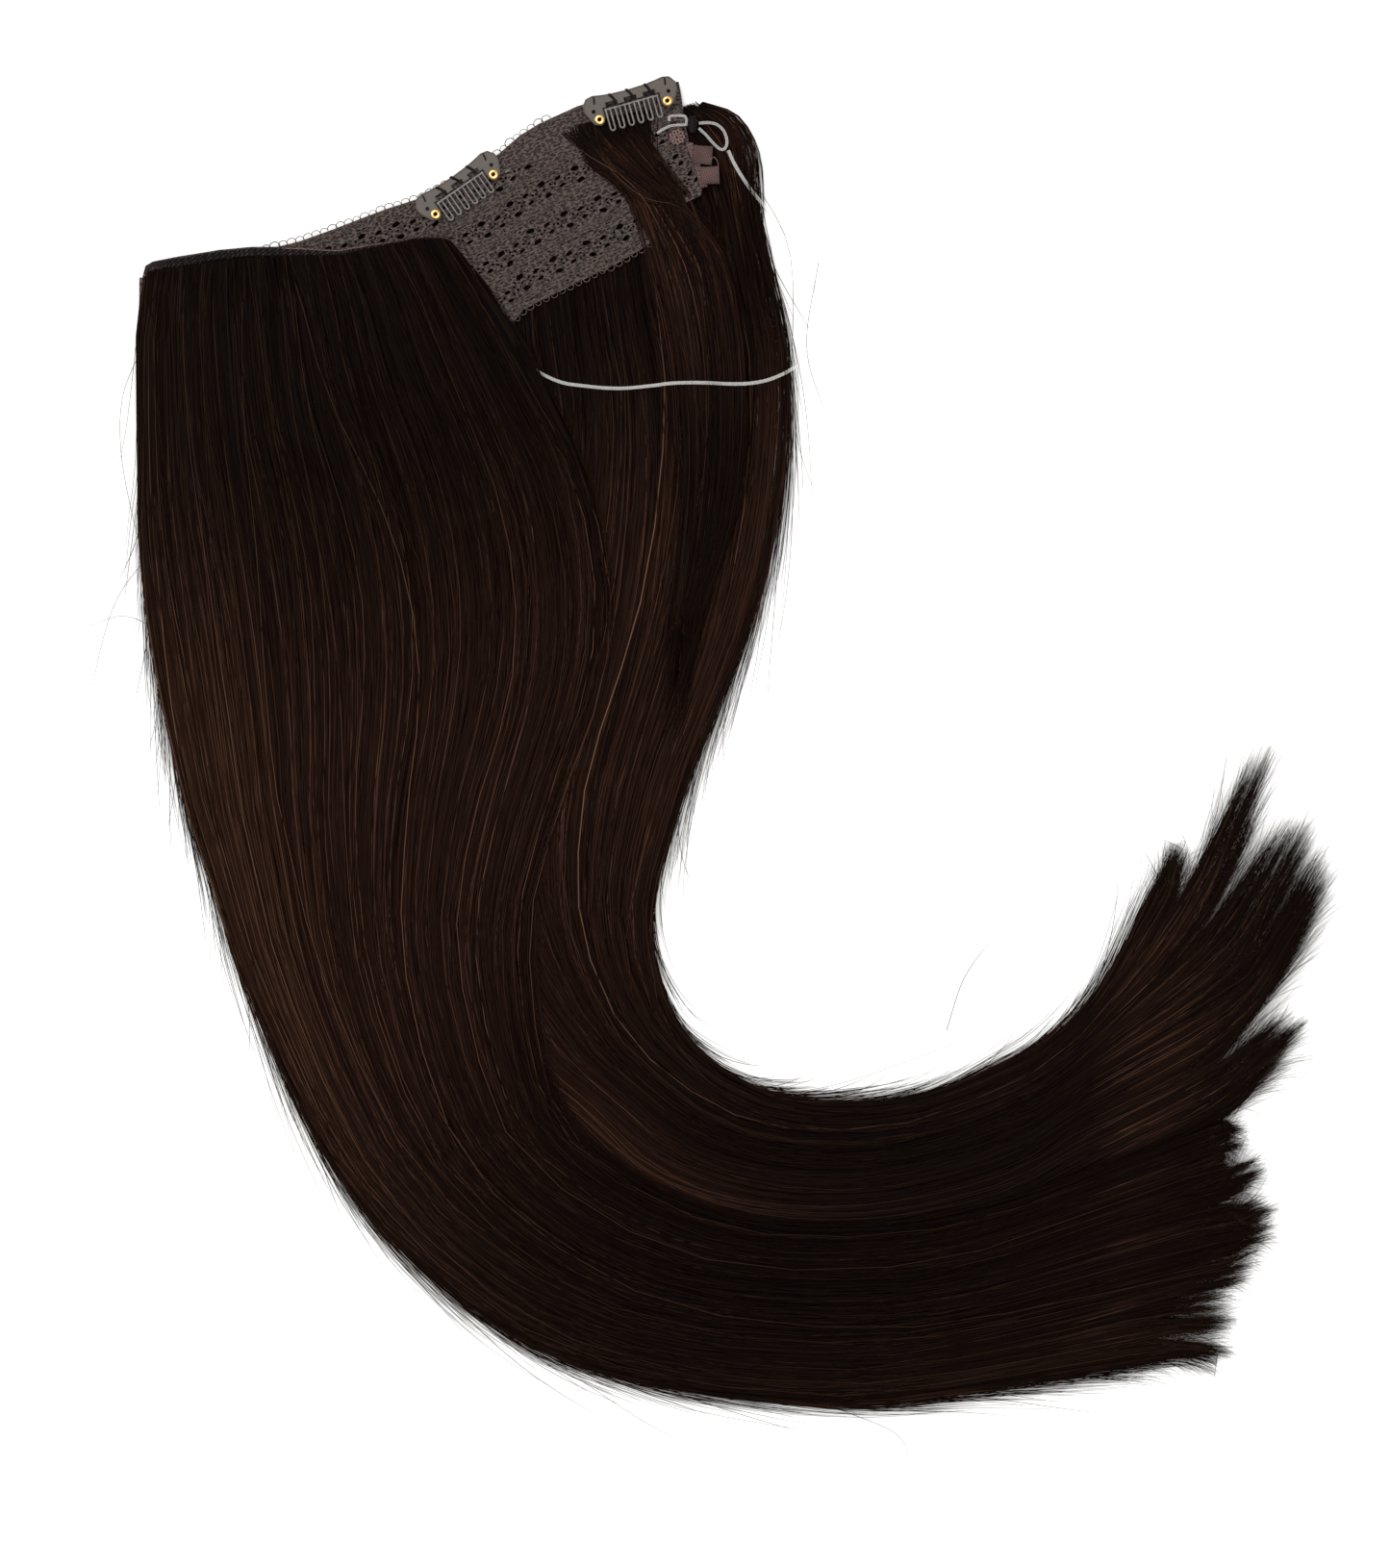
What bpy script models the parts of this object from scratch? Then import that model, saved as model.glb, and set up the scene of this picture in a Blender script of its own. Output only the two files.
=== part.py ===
# A halo hair extension, lying flat with the left part of its lace band folded over.
# Plan measures are millimetres from the band's fold corner, +x right and +y up the head.
# ORIGIN_X and ORIGIN_Y move the origin to the middle of the whole, and z = 0 is what it lies on.

import math
from collections import namedtuple

import bmesh
import bpy
import numpy as np
from mathutils import Matrix, Vector

MM = 0.001
NAME = "halo_hair_extension"
ORIGIN_X = 203.28
ORIGIN_Y = -157.82

# The lace band lies on a gentle slope, because the wefts under it build up towards its lower edge.
SLOPE_FROM = (0.0, -0.7)
SLOPE_ANGLE = math.degrees(math.atan2(68.7, 184.0))
SLOPE_START = 1.8
SLOPE_RISE = 0.055
SLOPE_LONG = 90.0

LACE_WALL = 1.0
FOLD_RISE = 1.9
GAP = 0.35
RIDGE = 0.5
EDGE_SHARE = 0.25
SEAM_SHARE = 0.65
UNDER_WING = 5.6
FULL_HEIGHT = 10.0
CLEAR_WIDTH = 0.05
RISE_WIDTH = 0.14
ON_BAND_SHARE = 0.36
THINNEST = 1.0
APEX_HIGH = 4.4
BACK_CEILING = 6.7
BACK_COUNT = 25
WING_COUNT = 25
END_LOCK_COUNT = 13
TIP_REST = 0.3
TIP_HIGH = 0.7

HAIR_BROWN = (0.022, 0.012, 0.008)
LACE_TAUPE = (0.105, 0.085, 0.078)
PLATE_TAUPE = (0.095, 0.080, 0.068)
COMB_GREY = (0.20, 0.175, 0.16)
BRASS = (0.78, 0.53, 0.22)
RIBBON_MAUVE = (0.16, 0.10, 0.095)
CLEAR = (0.72, 0.68, 0.66)

# One row across the flow of the hair: its outer and inner edge, the share of the width where the
# back hair begins and where the wing's hair ends, how high each stands over the floor, how far the
# wing still lies on the band (1) or has come down (0), and how closely the two meet (0 to 1).
Row = namedtuple("Row", "outer_x outer_y inner_x inner_y back_from wing_to back wing over seam")
FLOW = [
    Row(-0.5, -62.0, 212.0, 13.0, 0.07, 0.565, 6.0, 10.0, 1.0, 0.0),
    Row(0.0, -82.5, 219.0, -18.0, 0.07, 0.64, 6.0, 10.0, 1.0, 0.0),
    Row(1.5, -102.5, 220.0, -49.5, 0.07, 0.685, 6.0, 10.0, 0.7, 0.0),
    Row(4.0, -120.5, 216.0, -84.0, 0.07, 0.72, 6.0, 9.8, 0.2, 0.0),
    Row(7.5, -141.5, 208.5, -115.5, 0.08, 0.74, 6.0, 9.6, 0.0, 0.0),
    Row(12.0, -162.5, 198.5, -142.5, 0.09, 0.74, 6.2, 9.5, 0.0, 0.0),
    Row(17.0, -183.5, 188.5, -166.5, 0.11, 0.72, 6.5, 9.5, 0.0, 0.0),
    Row(24.5, -206.0, 180.0, -192.5, 0.16, 0.69, 7.0, 9.5, 0.0, 0.0),
    Row(32.5, -232.5, 174.5, -213.0, 0.25, 0.65, 7.6, 9.5, 0.0, 0.0),
    Row(43.5, -259.0, 175.0, -233.5, 0.36, 0.61, 8.2, 9.6, 0.0, 0.15),
    Row(58.5, -291.0, 182.0, -254.0, 0.46, 0.56, 8.8, 9.6, 0.0, 0.5),
    Row(78.0, -320.0, 193.5, -267.5, 0.54, 0.51, 9.2, 9.6, 0.0, 0.9),
    Row(105.5, -346.5, 208.5, -277.0, 0.52, 0.51, 9.4, 9.4, 0.0, 1.0),
    Row(136.0, -366.5, 225.0, -282.0, 0.52, 0.51, 9.4, 9.4, 0.0, 1.0),
    Row(170.5, -378.0, 245.0, -283.0, 0.51, 0.50, 9.2, 9.2, 0.0, 1.0),
    Row(208.5, -383.5, 268.0, -280.5, 0.51, 0.50, 8.8, 8.8, 0.0, 1.0),
    Row(248.0, -385.0, 291.0, -271.5, 0.50, 0.49, 8.2, 8.2, 0.0, 1.0),
    Row(284.5, -380.0, 311.0, -261.5, 0.50, 0.49, 7.4, 7.2, 0.0, 1.0),
    Row(314.0, -375.5, 329.0, -244.0, 0.50, 0.49, 6.6, 6.2, 0.0, 1.0),
]

# The back hair's first rows, under the lace.
RootRow = namedtuple("RootRow", "outer_x outer_y inner_x inner_y")
BACK_ROOTS = [
    RootRow(5.5, -8.0, 187.5, 60.5),
    RootRow(1.5, -31.5, 205.5, 43.0),
]
WING_SECOND = RootRow(-0.3, -20.0, 117.5, -3.0)
WING_ROOT_HIGH = [4.5, 8.0]

# The locks' side lines in the tail, from the outer side inwards: share of the node's width, and the
# place where the gap between this lock and the next one ends.
Side = namedtuple("Side", "share apex_x apex_y")
WING_SIDES = [
    Side(0.0, 344.0, -370.5),
    Side(0.09, 343.0, -364.5),
    Side(0.22, 345.0, -353.5),
    Side(0.36, 357.0, -342.0),
    Side(0.50, 365.0, -330.5),
    Side(0.66, 366.5, -318.5),
    Side(0.81, 366.5, -307.5),
    Side(1.0, 367.2, -291.0),
]
BACK_SIDES = [
    Side(0.0, 368.0, -289.0),
    Side(0.26, 366.0, -271.5),
    Side(0.56, 376.0, -243.0),
    Side(0.76, 359.0, -229.5),
    Side(0.90, 353.0, -217.5),
    Side(1.0, 345.5, -213.0),
]

# Each lock's pointed end, and how far it bows aside halfway.
Tip = namedtuple("Tip", "x y bow")
WING_TIPS = [
    Tip(374.5, -368.5, 0.6),
    Tip(376.0, -357.0, 0.4),
    Tip(380.0, -342.0, 0.3),
    Tip(388.0, -328.5, -0.4),
    Tip(388.5, -319.0, -0.5),
    Tip(385.0, -305.5, 0.3),
    Tip(378.5, -297.0, 0.2),
]
BACK_TIPS = [
    Tip(399.5, -254.0, -1.0),
    Tip(408.0, -203.0, -1.5),
    Tip(402.5, -182.5, -1.2),
    Tip(388.5, -157.5, -1.5),
    Tip(356.0, -194.5, -0.5),
]

# The lock from under the right clip.
LockRow = namedtuple("LockRow", "outer_x outer_y inner_x inner_y thick")
END_LOCK = [
    LockRow(149.0, 53.0, 174.3, 58.5, 0.9),
    LockRow(154.5, 40.0, 174.6, 44.0, 1.3),
    LockRow(167.0, 29.5, 179.0, 32.0, 2.0),
    LockRow(173.0, 16.5, 188.5, 23.0, 2.6),
    LockRow(179.0, -3.5, 201.0, 6.5, 2.8),
    LockRow(184.0, -29.5, 207.0, -26.5, 2.6),
    LockRow(186.0, -62.5, 207.0, -59.5, 2.4),
    LockRow(184.0, -92.5, 202.0, -89.0, 2.0),
    LockRow(181.0, -117.0, 193.0, -113.5, 1.5),
]
END_LOCK_SHARES = [0.0, 0.34, 0.68, 1.0]
END_LOCK_TIPS = [Tip(180.0, -140.0, 0.4), Tip(183.0, -149.0, 0.4), Tip(186.0, -138.0, 0.4)]

# The band's outline, in three runs round from the top of the fold.
BAND_TOP = [
    (0.0, 0.5), (27.0, 6.5), (53.5, 13.0), (63.5, 16.5), (83.0, 24.0), (95.5, 28.0), (108.0, 34.5), (122.0, 43.0),
    (129.5, 49.5), (136.0, 53.5), (149.0, 59.5), (162.5, 63.5), (177.0, 67.0), (184.0, 68.0),
]
BAND_END = [(185.0, 62.5), (186.0, 54.5), (187.5, 47.0), (190.0, 40.5), (192.5, 33.0), (191.5, 28.5)]
BAND_LOW = [
    (187.0, 26.5), (182.0, 20.5), (173.5, 11.5), (162.5, 5.0), (149.0, -1.5), (131.0, -10.5), (127.5, -15.0),
    (106.5, -23.0), (83.0, -30.5), (50.0, -40.5), (24.0, -47.5), (0.0, -54.5),
]
# The folded part's outline, from the top of the fold round to its foot.
WING_EDGE = [
    (0.0, 0.5), (1.0, 4.5), (3.5, 6.0), (11.0, 7.5), (26.5, 10.0), (37.5, 11.0), (51.0, 11.0), (66.5, 10.0),
    (72.5, 11.0), (86.0, 13.0), (94.5, 14.5), (103.5, 14.5), (108.0, 13.0), (111.0, 9.0), (115.0, 0.0),
    (119.0, -10.5), (122.0, -22.0), (122.5, -29.0), (118.0, -35.0), (83.0, -40.0), (40.5, -46.5), (0.0, -54.5),
]
FOLD_STEPS = 4
FOLD_SIDES = 6

# Rows of gaps in the lace: the share of the band's width, the gap's length and width, and its stagger.
GapRow = namedtuple("GapRow", "across length width stagger")
GAP_ROWS = [
    GapRow(0.13, 2.6, 1.0, 0.0),
    GapRow(0.27, 3.8, 1.5, 0.5),
    GapRow(0.40, 3.2, 1.3, 0.0),
    GapRow(0.53, 3.8, 1.6, 0.5),
    GapRow(0.66, 3.2, 1.3, 0.0),
    GapRow(0.79, 3.8, 1.5, 0.5),
    GapRow(0.91, 2.6, 1.1, 0.0),
]
GAPS_PER_ROW = 16
GAPS_FROM = 0.30
GAPS_TO = 0.93

WEFT_PATH = [
    (1.8, 1.8), (2.8, 3.6), (4.8, 4.6), (11.5, 5.5), (27.0, 8.0), (37.5, 9.0), (51.0, 9.0), (66.5, 8.2),
    (72.5, 9.0), (86.0, 11.0), (94.5, 12.5), (102.5, 12.5), (106.0, 11.4),
]
WEFT_WIDTH = 2.6
WEFT_THICK = 1.4

# The two snap clips, at the middle between their eyelets.
Clip = namedtuple("Clip", "name x y angle lift")
CLIPS = [
    Clip("centre", 110.5, 29.0, 34.6, 0.85),
    Clip("right", 168.5, 57.7, 15.5, 2.45),
]
EYELET_APART = 24.1
EYELET_HOLE = 1.35
EYELET_TUBE = 1.0
EYELET_BORE = 0.6
EYELET_FLANGE = 1.65
EYELET_HIGH = 1.6
EYELET_SIDES = 10
LOBE_HOLE_X = 13.3
LOBE_HOLE_Y = 3.2
LOBE_HOLE_R = 0.75
PLATE_THICK = 0.6
PLATE_HALF = [
    (0.0, 7.3), (6.0, 7.5), (9.5, 7.9), (12.5, 8.4), (14.8, 7.9), (16.3, 5.8), (16.3, 3.4), (15.2, 1.2),
    (14.0, -1.1), (12.0, -2.0), (10.7, -1.3), (10.2, 0.2), (10.2, 3.7), (8.9, 3.7), (8.9, 5.2), (4.5, 5.2),
    (4.5, 3.7), (2.2, 3.7), (2.2, 5.2),
]
COMB_THICK = 0.8
COMB_HINGE_Y = 2.6
COMB_HALF_LONG = 9.7
COMB_BAR_HALF = 0.7
COMB_TEETH = 6
COMB_PITCH = 3.35
COMB_TOOTH_HALF = 1.15
COMB_TOOTH_END = -4.9
COMB_SLOT_HALF = 0.4
COMB_SLOT_TOP = 0.8

# The small things at the right end.
HEM = [(186.6, 46.2), (188.4, 46.9), (193.6, 31.6), (191.8, 31.0)]
RIBBON_UPPER = [(189.1, 46.0), (193.6, 45.0), (196.0, 39.3), (191.2, 39.0)]
RIBBON_LOWER = [(191.6, 38.4), (196.2, 38.8), (198.3, 32.4), (193.8, 31.8)]
ROSETTE = (183.4, 48.6)
ROSETTE_RADIUS = 2.7
ROSETTE_THICK = 1.5
HEM_THICK = 1.0
RIBBON_THICK = 1.6
CLEAR_LOOP = [
    (176.6, 49.9), (178.4, 51.2), (181.5, 52.6), (186.0, 52.9), (186.6, 53.6), (186.4, 55.4), (185.4, 56.0),
    (181.6, 56.0), (180.7, 55.4), (180.8, 54.2),
]
END_LOOP = [
    (190.9, 53.4), (194.0, 53.6), (197.0, 53.0), (199.3, 50.9), (200.4, 48.2), (200.4, 45.8), (199.4, 44.4),
    (197.8, 44.7), (195.5, 46.9), (193.4, 49.3), (190.9, 51.7),
]
CLEAR_LOOP_POINTS = 17
END_LOOP_POINTS = 20
KNOT = (188.7, 53.0)
KNOT_LONG = 6.0
KNOT_SLIM = 0.5
KNOT_HIGH = 2.0
STRAND = 1.2

# The wire's own route: plan place, and the height of its middle.
WIRE = [
    (201.0, 44.0, 4.6), (203.4, 38.9, 4.1), (208.6, 31.0, 2.9), (216.0, 22.2, 1.4), (223.5, 12.5, 0.8),
    (229.6, 0.5, 0.7), (232.2, -11.0, 0.7), (230.4, -21.6, 0.9), (226.0, -28.4, 2.4), (221.5, -31.7, 4.6),
    (217.5, -33.8, 6.6), (213.5, -35.3, 8.4), (208.5, -36.3, 9.9), (202.0, -36.6, 10.7),
    (192.5, -36.2, 10.8), (182.5, -36.2, 9.6), (174.0, -37.0, 7.4), (165.5, -37.7, 6.5),
    (158.5, -37.6, 6.6), (150.5, -36.8, 6.7), (145.0, -36.0, 6.6),
    (140.0, -34.2, 6.4), (134.0, -31.0, 6.6), (128.5, -27.0, 6.9), (122.9, -22.4, 7.1),
]
WIRE_POINTS = 56


def slope_height(x, y):
    """Height of the middle of the lace wall over a plan place, in millimetres."""
    angle = math.radians(SLOPE_ANGLE)
    below = (x - SLOPE_FROM[0]) * math.sin(angle) - (y - SLOPE_FROM[1]) * math.cos(angle)
    return SLOPE_START + SLOPE_RISE * below


def world(x, y, z):
    return Vector(((x - ORIGIN_X) * MM, (y - ORIGIN_Y) * MM, z * MM))


def smooth(points, count):
    """A smooth curve through the points, read at count even steps along it."""
    p = np.array(points, float)
    ends = (2 * p[0] - p[1], 2 * p[-1] - p[-2])
    p = np.concatenate([ends[0][None], p, ends[1][None]])
    at = np.linspace(0, len(p) - 3, count)
    k = np.minimum(at.astype(int), len(p) - 4)
    t = (at - k).reshape((-1,) + (1,) * (p.ndim - 1))
    a, b, c, d = p[k], p[k + 1], p[k + 2], p[k + 3]
    return 0.5 * (2 * b + (c - a) * t + (2 * a - 5 * b + 4 * c - d) * t**2 + (3 * b - a - 3 * c + d) * t**3)


def along(points, share):
    """The place at a share of the length of a run of points."""
    p = np.array(points, float)
    steps = np.concatenate([[0], np.cumsum(np.linalg.norm(np.diff(p, axis=0), axis=1))])
    return np.stack([np.interp(share * steps[-1], steps, p[:, k]) for k in range(p.shape[1])], axis=-1)


def clear_scene():
    for obj in list(bpy.data.objects):
        bpy.data.objects.remove(obj, do_unlink=True)


def new_collection(name):
    made = bpy.data.collections.new(name)
    bpy.context.scene.collection.children.link(made)
    return made


def new_material(name, colour, roughness, metallic=0.0):
    made = bpy.data.materials.new(name)
    made.use_nodes = True
    shader = made.node_tree.nodes["Principled BSDF"]
    shader.inputs["Base Color"].default_value = (*colour, 1.0)
    shader.inputs["Roughness"].default_value = roughness
    shader.inputs["Metallic"].default_value = metallic
    made.diffuse_color = (*colour, 1.0)
    return made


def add_part(name, mesh, finish, parts, smooth_angle=None):
    """Puts a finished mesh in the scene under its node's name, with a material of its own."""
    obj = bpy.data.objects.new(name, mesh)
    mesh.name = name
    parts.objects.link(obj)
    colour, roughness, metallic = finish
    mesh.materials.clear()
    mesh.materials.append(new_material(f"{name}_finish", colour, roughness, metallic))
    if smooth_angle is not None:
        mesh.shade_smooth()
        mesh.set_sharp_from_angle(angle=math.radians(smooth_angle))
    return obj


def mesh_of(bm):
    bmesh.ops.recalc_face_normals(bm, faces=bm.faces)
    mesh = bpy.data.meshes.new("mesh")
    bm.to_mesh(mesh)
    bm.free()
    return mesh


def close_joins(bm):
    """Joins bodies that share whole faces: takes out each pair of inner faces and welds the rest."""
    met = {}
    for face in bm.faces:
        key = frozenset(tuple(round(c / (0.01 * MM)) for c in v.co) for v in face.verts)
        met.setdefault(key, []).append(face)
    inner = [face for group in met.values() if len(group) > 1 for face in group]
    bmesh.ops.delete(bm, geom=inner, context="FACES")
    bmesh.ops.remove_doubles(bm, verts=bm.verts, dist=0.00001)


def curve_mesh(curve):
    """A curve object as a welded mesh; the curve is removed."""
    obj = bpy.data.objects.new("curve", curve)
    bpy.context.scene.collection.objects.link(obj)
    depsgraph = bpy.context.evaluated_depsgraph_get()
    mesh = bpy.data.meshes.new_from_object(obj.evaluated_get(depsgraph))
    bpy.data.objects.remove(obj, do_unlink=True)
    bpy.data.curves.remove(curve)
    bm = bmesh.new()
    bm.from_mesh(mesh)
    bmesh.ops.remove_doubles(bm, verts=bm.verts, dist=0.00001)
    bm.to_mesh(mesh)
    bm.free()
    return mesh


def flat_shape(outline, holes, thick):
    """A flat plate of the outline with its holes cut through, in metres, its middle at z = 0."""
    curve = bpy.data.curves.new("plate", "CURVE")
    curve.dimensions = "2D"
    curve.fill_mode = "BOTH"
    curve.extrude = thick * MM / 2
    for points in [outline, *holes]:
        spline = curve.splines.new("POLY")
        spline.points.add(len(points) - 1)
        for slot, (x, y) in zip(spline.points, points):
            slot.co = (x * MM, y * MM, 0.0, 1.0)
        spline.use_cyclic_u = True
    return curve_mesh(curve)


def lay_on_band(mesh, lift):
    """Moves a flat mesh, drawn in plan metres, to its height over the lace's middle."""
    for v in mesh.vertices:
        x, y = v.co.x / MM, v.co.y / MM
        v.co = world(x, y, slope_height(x, y) + lift + v.co.z / MM)
    mesh.update()


def tube(points, thick, sides=2):
    """A round strand with closed ends through points in metres."""
    curve = bpy.data.curves.new("strand", "CURVE")
    curve.dimensions = "3D"
    curve.bevel_depth = thick * MM / 2
    curve.bevel_resolution = sides
    curve.use_fill_caps = True
    spline = curve.splines.new("POLY")
    spline.points.add(len(points) - 1)
    for slot, place in zip(spline.points, points):
        slot.co = (*place, 1.0)
    return curve_mesh(curve)


def band_place(share_along, share_across):
    """A plan place in the band: a share of the way from the fold, and across from its top edge."""
    top = along(BAND_TOP, share_along)
    low = along(BAND_LOW[::-1], share_along)
    return top + (low - top) * share_across


def lace_gap(centre, length, width, angle):
    """A six-sided gap that lies along the band."""
    turn = Matrix.Rotation(angle, 2)
    half = [(0.5, 0.0), (0.28, 0.5), (-0.28, 0.5), (-0.5, 0.0), (-0.28, -0.5), (0.28, -0.5)]
    return [tuple(turn @ Vector((a * length, b * width)) + Vector(centre)) for a, b in half]


def lace_gaps():
    gaps = []
    for row in GAP_ROWS:
        for i in range(GAPS_PER_ROW):
            share = GAPS_FROM + (GAPS_TO - GAPS_FROM) * (i + row.stagger) / GAPS_PER_ROW
            here = band_place(share, row.across)
            ahead = band_place(share + 0.01, row.across)
            angle = math.atan2(ahead[1] - here[1], ahead[0] - here[0])
            gaps.append(lace_gap(here, row.length, row.width, angle))
    return gaps


def fold_line():
    foot, head = Vector(BAND_LOW[-1]), Vector(BAND_TOP[0])
    return [tuple(foot.lerp(head, i / FOLD_STEPS)) for i in range(FOLD_STEPS + 1)]


def fold_mesh():
    """The half turn that joins the band's lower and upper layers."""
    bm = bmesh.new()
    radius = FOLD_RISE / 2
    rings = []
    for x, y in fold_line():
        ring = []
        for r in (radius + LACE_WALL / 2, radius - LACE_WALL / 2):
            turn = [math.pi * (0.5 + i / FOLD_SIDES) for i in range(FOLD_SIDES + 1)]
            turn = turn if r > radius else turn[::-1]
            ring += [(x + r * math.cos(a), y, radius + r * math.sin(a)) for a in turn]
        rings.append([bm.verts.new(world(a, b, slope_height(x, b) + c)) for a, b, c in ring])
    for low, high in zip(rings, rings[1:]):
        for i in range(len(low)):
            j = (i + 1) % len(low)
            bm.faces.new((low[i], low[j], high[j], high[i]))
    for ring in (rings[0], rings[-1]):
        n = len(ring) // 2
        for i in range(n - 1):
            bm.faces.new((ring[i], ring[i + 1], ring[2 * n - 2 - i], ring[2 * n - 1 - i]))
    mesh = bpy.data.meshes.new("fold")
    bm.to_mesh(mesh)
    bm.free()
    return mesh


def lace_base(parts):
    lower = flat_shape(BAND_TOP + BAND_END + BAND_LOW + fold_line()[1:-1], lace_gaps(), LACE_WALL)
    lay_on_band(lower, 0.0)
    upper = flat_shape(WING_EDGE + fold_line()[1:-1], [], LACE_WALL)
    lay_on_band(upper, FOLD_RISE)
    bm = bmesh.new()
    for mesh in (lower, upper, fold_mesh()):
        bm.from_mesh(mesh)
        bpy.data.meshes.remove(mesh)
    close_joins(bm)
    add_part("lace_base", mesh_of(bm), (LACE_TAUPE, 0.85, 0.0), parts)


def weft_line(count):
    """Places down the middle of the weft track, and the way to its upper edge at each."""
    path = smooth(WEFT_PATH, count)
    ahead = np.gradient(path, axis=0)
    ahead /= np.linalg.norm(ahead, axis=1)[:, None]
    return path, np.stack([-ahead[:, 1], ahead[:, 0]], axis=1)


def wing_weft(parts):
    """The sewn track along the folded part's edge."""
    path, side = weft_line(34)
    side = side * WEFT_WIDTH / 2
    outline = [tuple(p) for p in path + side] + [tuple(p) for p in (path - side)[::-1]]
    mesh = flat_shape(outline, [], WEFT_THICK)
    lay_on_band(mesh, FOLD_RISE + LACE_WALL / 2 + GAP + WEFT_THICK / 2)
    add_part("wing_weft", mesh, (HAIR_BROWN, 0.7, 0.0), parts)


def columns_of(shares):
    """Places across a node: each lock's sides, and three places between them."""
    out = []
    for a, b in zip(shares, shares[1:]):
        out += [a, a + (b - a) * 0.25, a + (b - a) * 0.5, a + (b - a) * 0.75]
    return np.array(out + [shares[-1]])


def arch(share, low_edge, high_edge):
    """The mass's thickness across itself, from 0 to 1, with the thickness kept at its two edges."""
    edge = low_edge + (high_edge - low_edge) * share
    return edge + (1 - edge) * (1 - np.abs(2 * share - 1) ** 3)


def ridges(count):
    """How far each column stands up in its lock: nothing at its sides, most in its middle."""
    return np.array([0.0, 0.75, 1.0, 0.75] * ((count - 1) // 4) + [0.0])


def across(row, start, end, shares):
    """Plan places across a row, from a start to an end share of its width."""
    outer, inner = np.array((row.outer_x, row.outer_y)), np.array((row.inner_x, row.inner_y))
    return outer + (inner - outer) * (start + (end - start) * shares[:, None])


def apex_row(sides):
    """The row where the locks part, with three places between neighbouring side lines."""
    out = []
    for a, b in zip(sides, sides[1:]):
        p, q = np.array((a.apex_x, a.apex_y)), np.array((b.apex_x, b.apex_y))
        out += [p, p + (q - p) * 0.25, p + (q - p) * 0.5, p + (q - p) * 0.75]
    return np.array(out + [np.array((sides[-1].apex_x, sides[-1].apex_y))])


def lock_ring(plan, top, low, i):
    """One lock's section: three places along its underside, then five back over its top."""
    at = 4 * i
    under = [(*plan[at + k], low[at + k]) for k in (0, 2, 4)]
    over = [(*plan[at + k], top[at + k]) for k in (4, 3, 2, 1, 0)]
    return under + over


def pointed_end(ring, tip, rest):
    """Two smaller rings and a point, on a gentle bow from a lock's last ring to its tip."""
    ring = np.array(ring)
    start, end = ring.mean(axis=0), np.array((tip.x, tip.y, rest + TIP_HIGH))
    ahead = end - start
    aside = np.array((-ahead[1], ahead[0], 0.0)) / np.linalg.norm(ahead[:2])
    rings = []
    for step, size in ((0.36, 0.68), (0.72, 0.34)):
        middle = start + ahead * step + aside * tip.bow * math.sin(math.pi * step)
        rings.append([middle + (p - start) * (size, size, size) for p in ring])
    for small in rings:
        lowest = min(p[2] for p in small)
        for p in small:
            p[2] += rest - lowest
    return rings, end


def fused_locks(plan, top, low, tips, rest):
    """Locks side by side as one closed body, each with its own pointed end that rests at a height."""
    bm = bmesh.new()
    for i, tip in enumerate(tips):
        rings = [lock_ring(p, t, b, i) for p, t, b in zip(plan, top, low)]
        more, end = pointed_end(rings[-1], tip, rest)
        rings = [[bm.verts.new(world(*p)) for p in ring] for ring in rings + more]
        bm.faces.new(rings[0])
        for a, b in zip(rings, rings[1:]):
            for k in range(8):
                j = (k + 1) % 8
                bm.faces.new((a[k], a[j], b[j], b[k]))
        point = bm.verts.new(world(*end))
        for k in range(8):
            bm.faces.new((rings[-1][k], rings[-1][(k + 1) % 8], point))
    close_joins(bm)
    return mesh_of(bm)


def widest_of_neighbours(field):
    """Each place's highest value among itself and the places next to it."""
    wide = np.pad(field, 1, mode="edge")
    rows, columns = field.shape
    return np.max([wide[i : i + rows, j : j + columns] for i in range(3) for j in range(3)], axis=0)


def back_height(width_share, begin, wing_end, thick, seam):
    """The top of the back hair at shares of the whole width: arched, and lower where the wing lies on it."""
    inside = np.clip((width_share - begin) / (1 - begin), 0, 1)
    crown = thick * arch(inside, EDGE_SHARE + (SEAM_SHARE - EDGE_SHARE) * seam, EDGE_SHARE)
    clear_of_wing = np.clip((width_share - wing_end - CLEAR_WIDTH) / RISE_WIDTH, 0, 1)
    return np.minimum(crown, UNDER_WING + (FULL_HEIGHT - UNDER_WING) * clear_of_wing)


def hair_back(parts):
    shares = columns_of([s.share for s in BACK_SIDES])
    rows, extra = [], []
    for row in BACK_ROOTS:
        rows.append(across(row, FLOW[0].back_from, 1.0, shares))
        extra.append((FLOW[0].back_from, FLOW[0].wing_to, FLOW[0].back, 0.0))
    for row in FLOW:
        rows.append(across(row, row.back_from, 1.0, shares))
        extra.append((row.back_from, row.wing_to, row.back, row.seam))
    rows.append(apex_row(BACK_SIDES))
    extra.append((FLOW[-1].back_from, FLOW[-1].wing_to, APEX_HIGH, 1.0))
    plan, more = smooth(rows, BACK_COUNT), smooth(extra, BACK_COUNT)
    begin, wing_end, thick, seam = more.T[:, :, None]
    top = back_height(begin + (1 - begin) * shares, begin, wing_end, thick, seam)
    under_lace = slope_height(plan[..., 0], plan[..., 1]) - LACE_WALL / 2 - GAP - RIDGE
    top = np.minimum(top, under_lace) + RIDGE * ridges(len(shares))
    mesh = fused_locks(plan, top, np.zeros_like(top), BACK_TIPS, TIP_REST)
    add_part("hair_back", mesh, (HAIR_BROWN, 0.45, 0.0), parts, 40)


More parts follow.
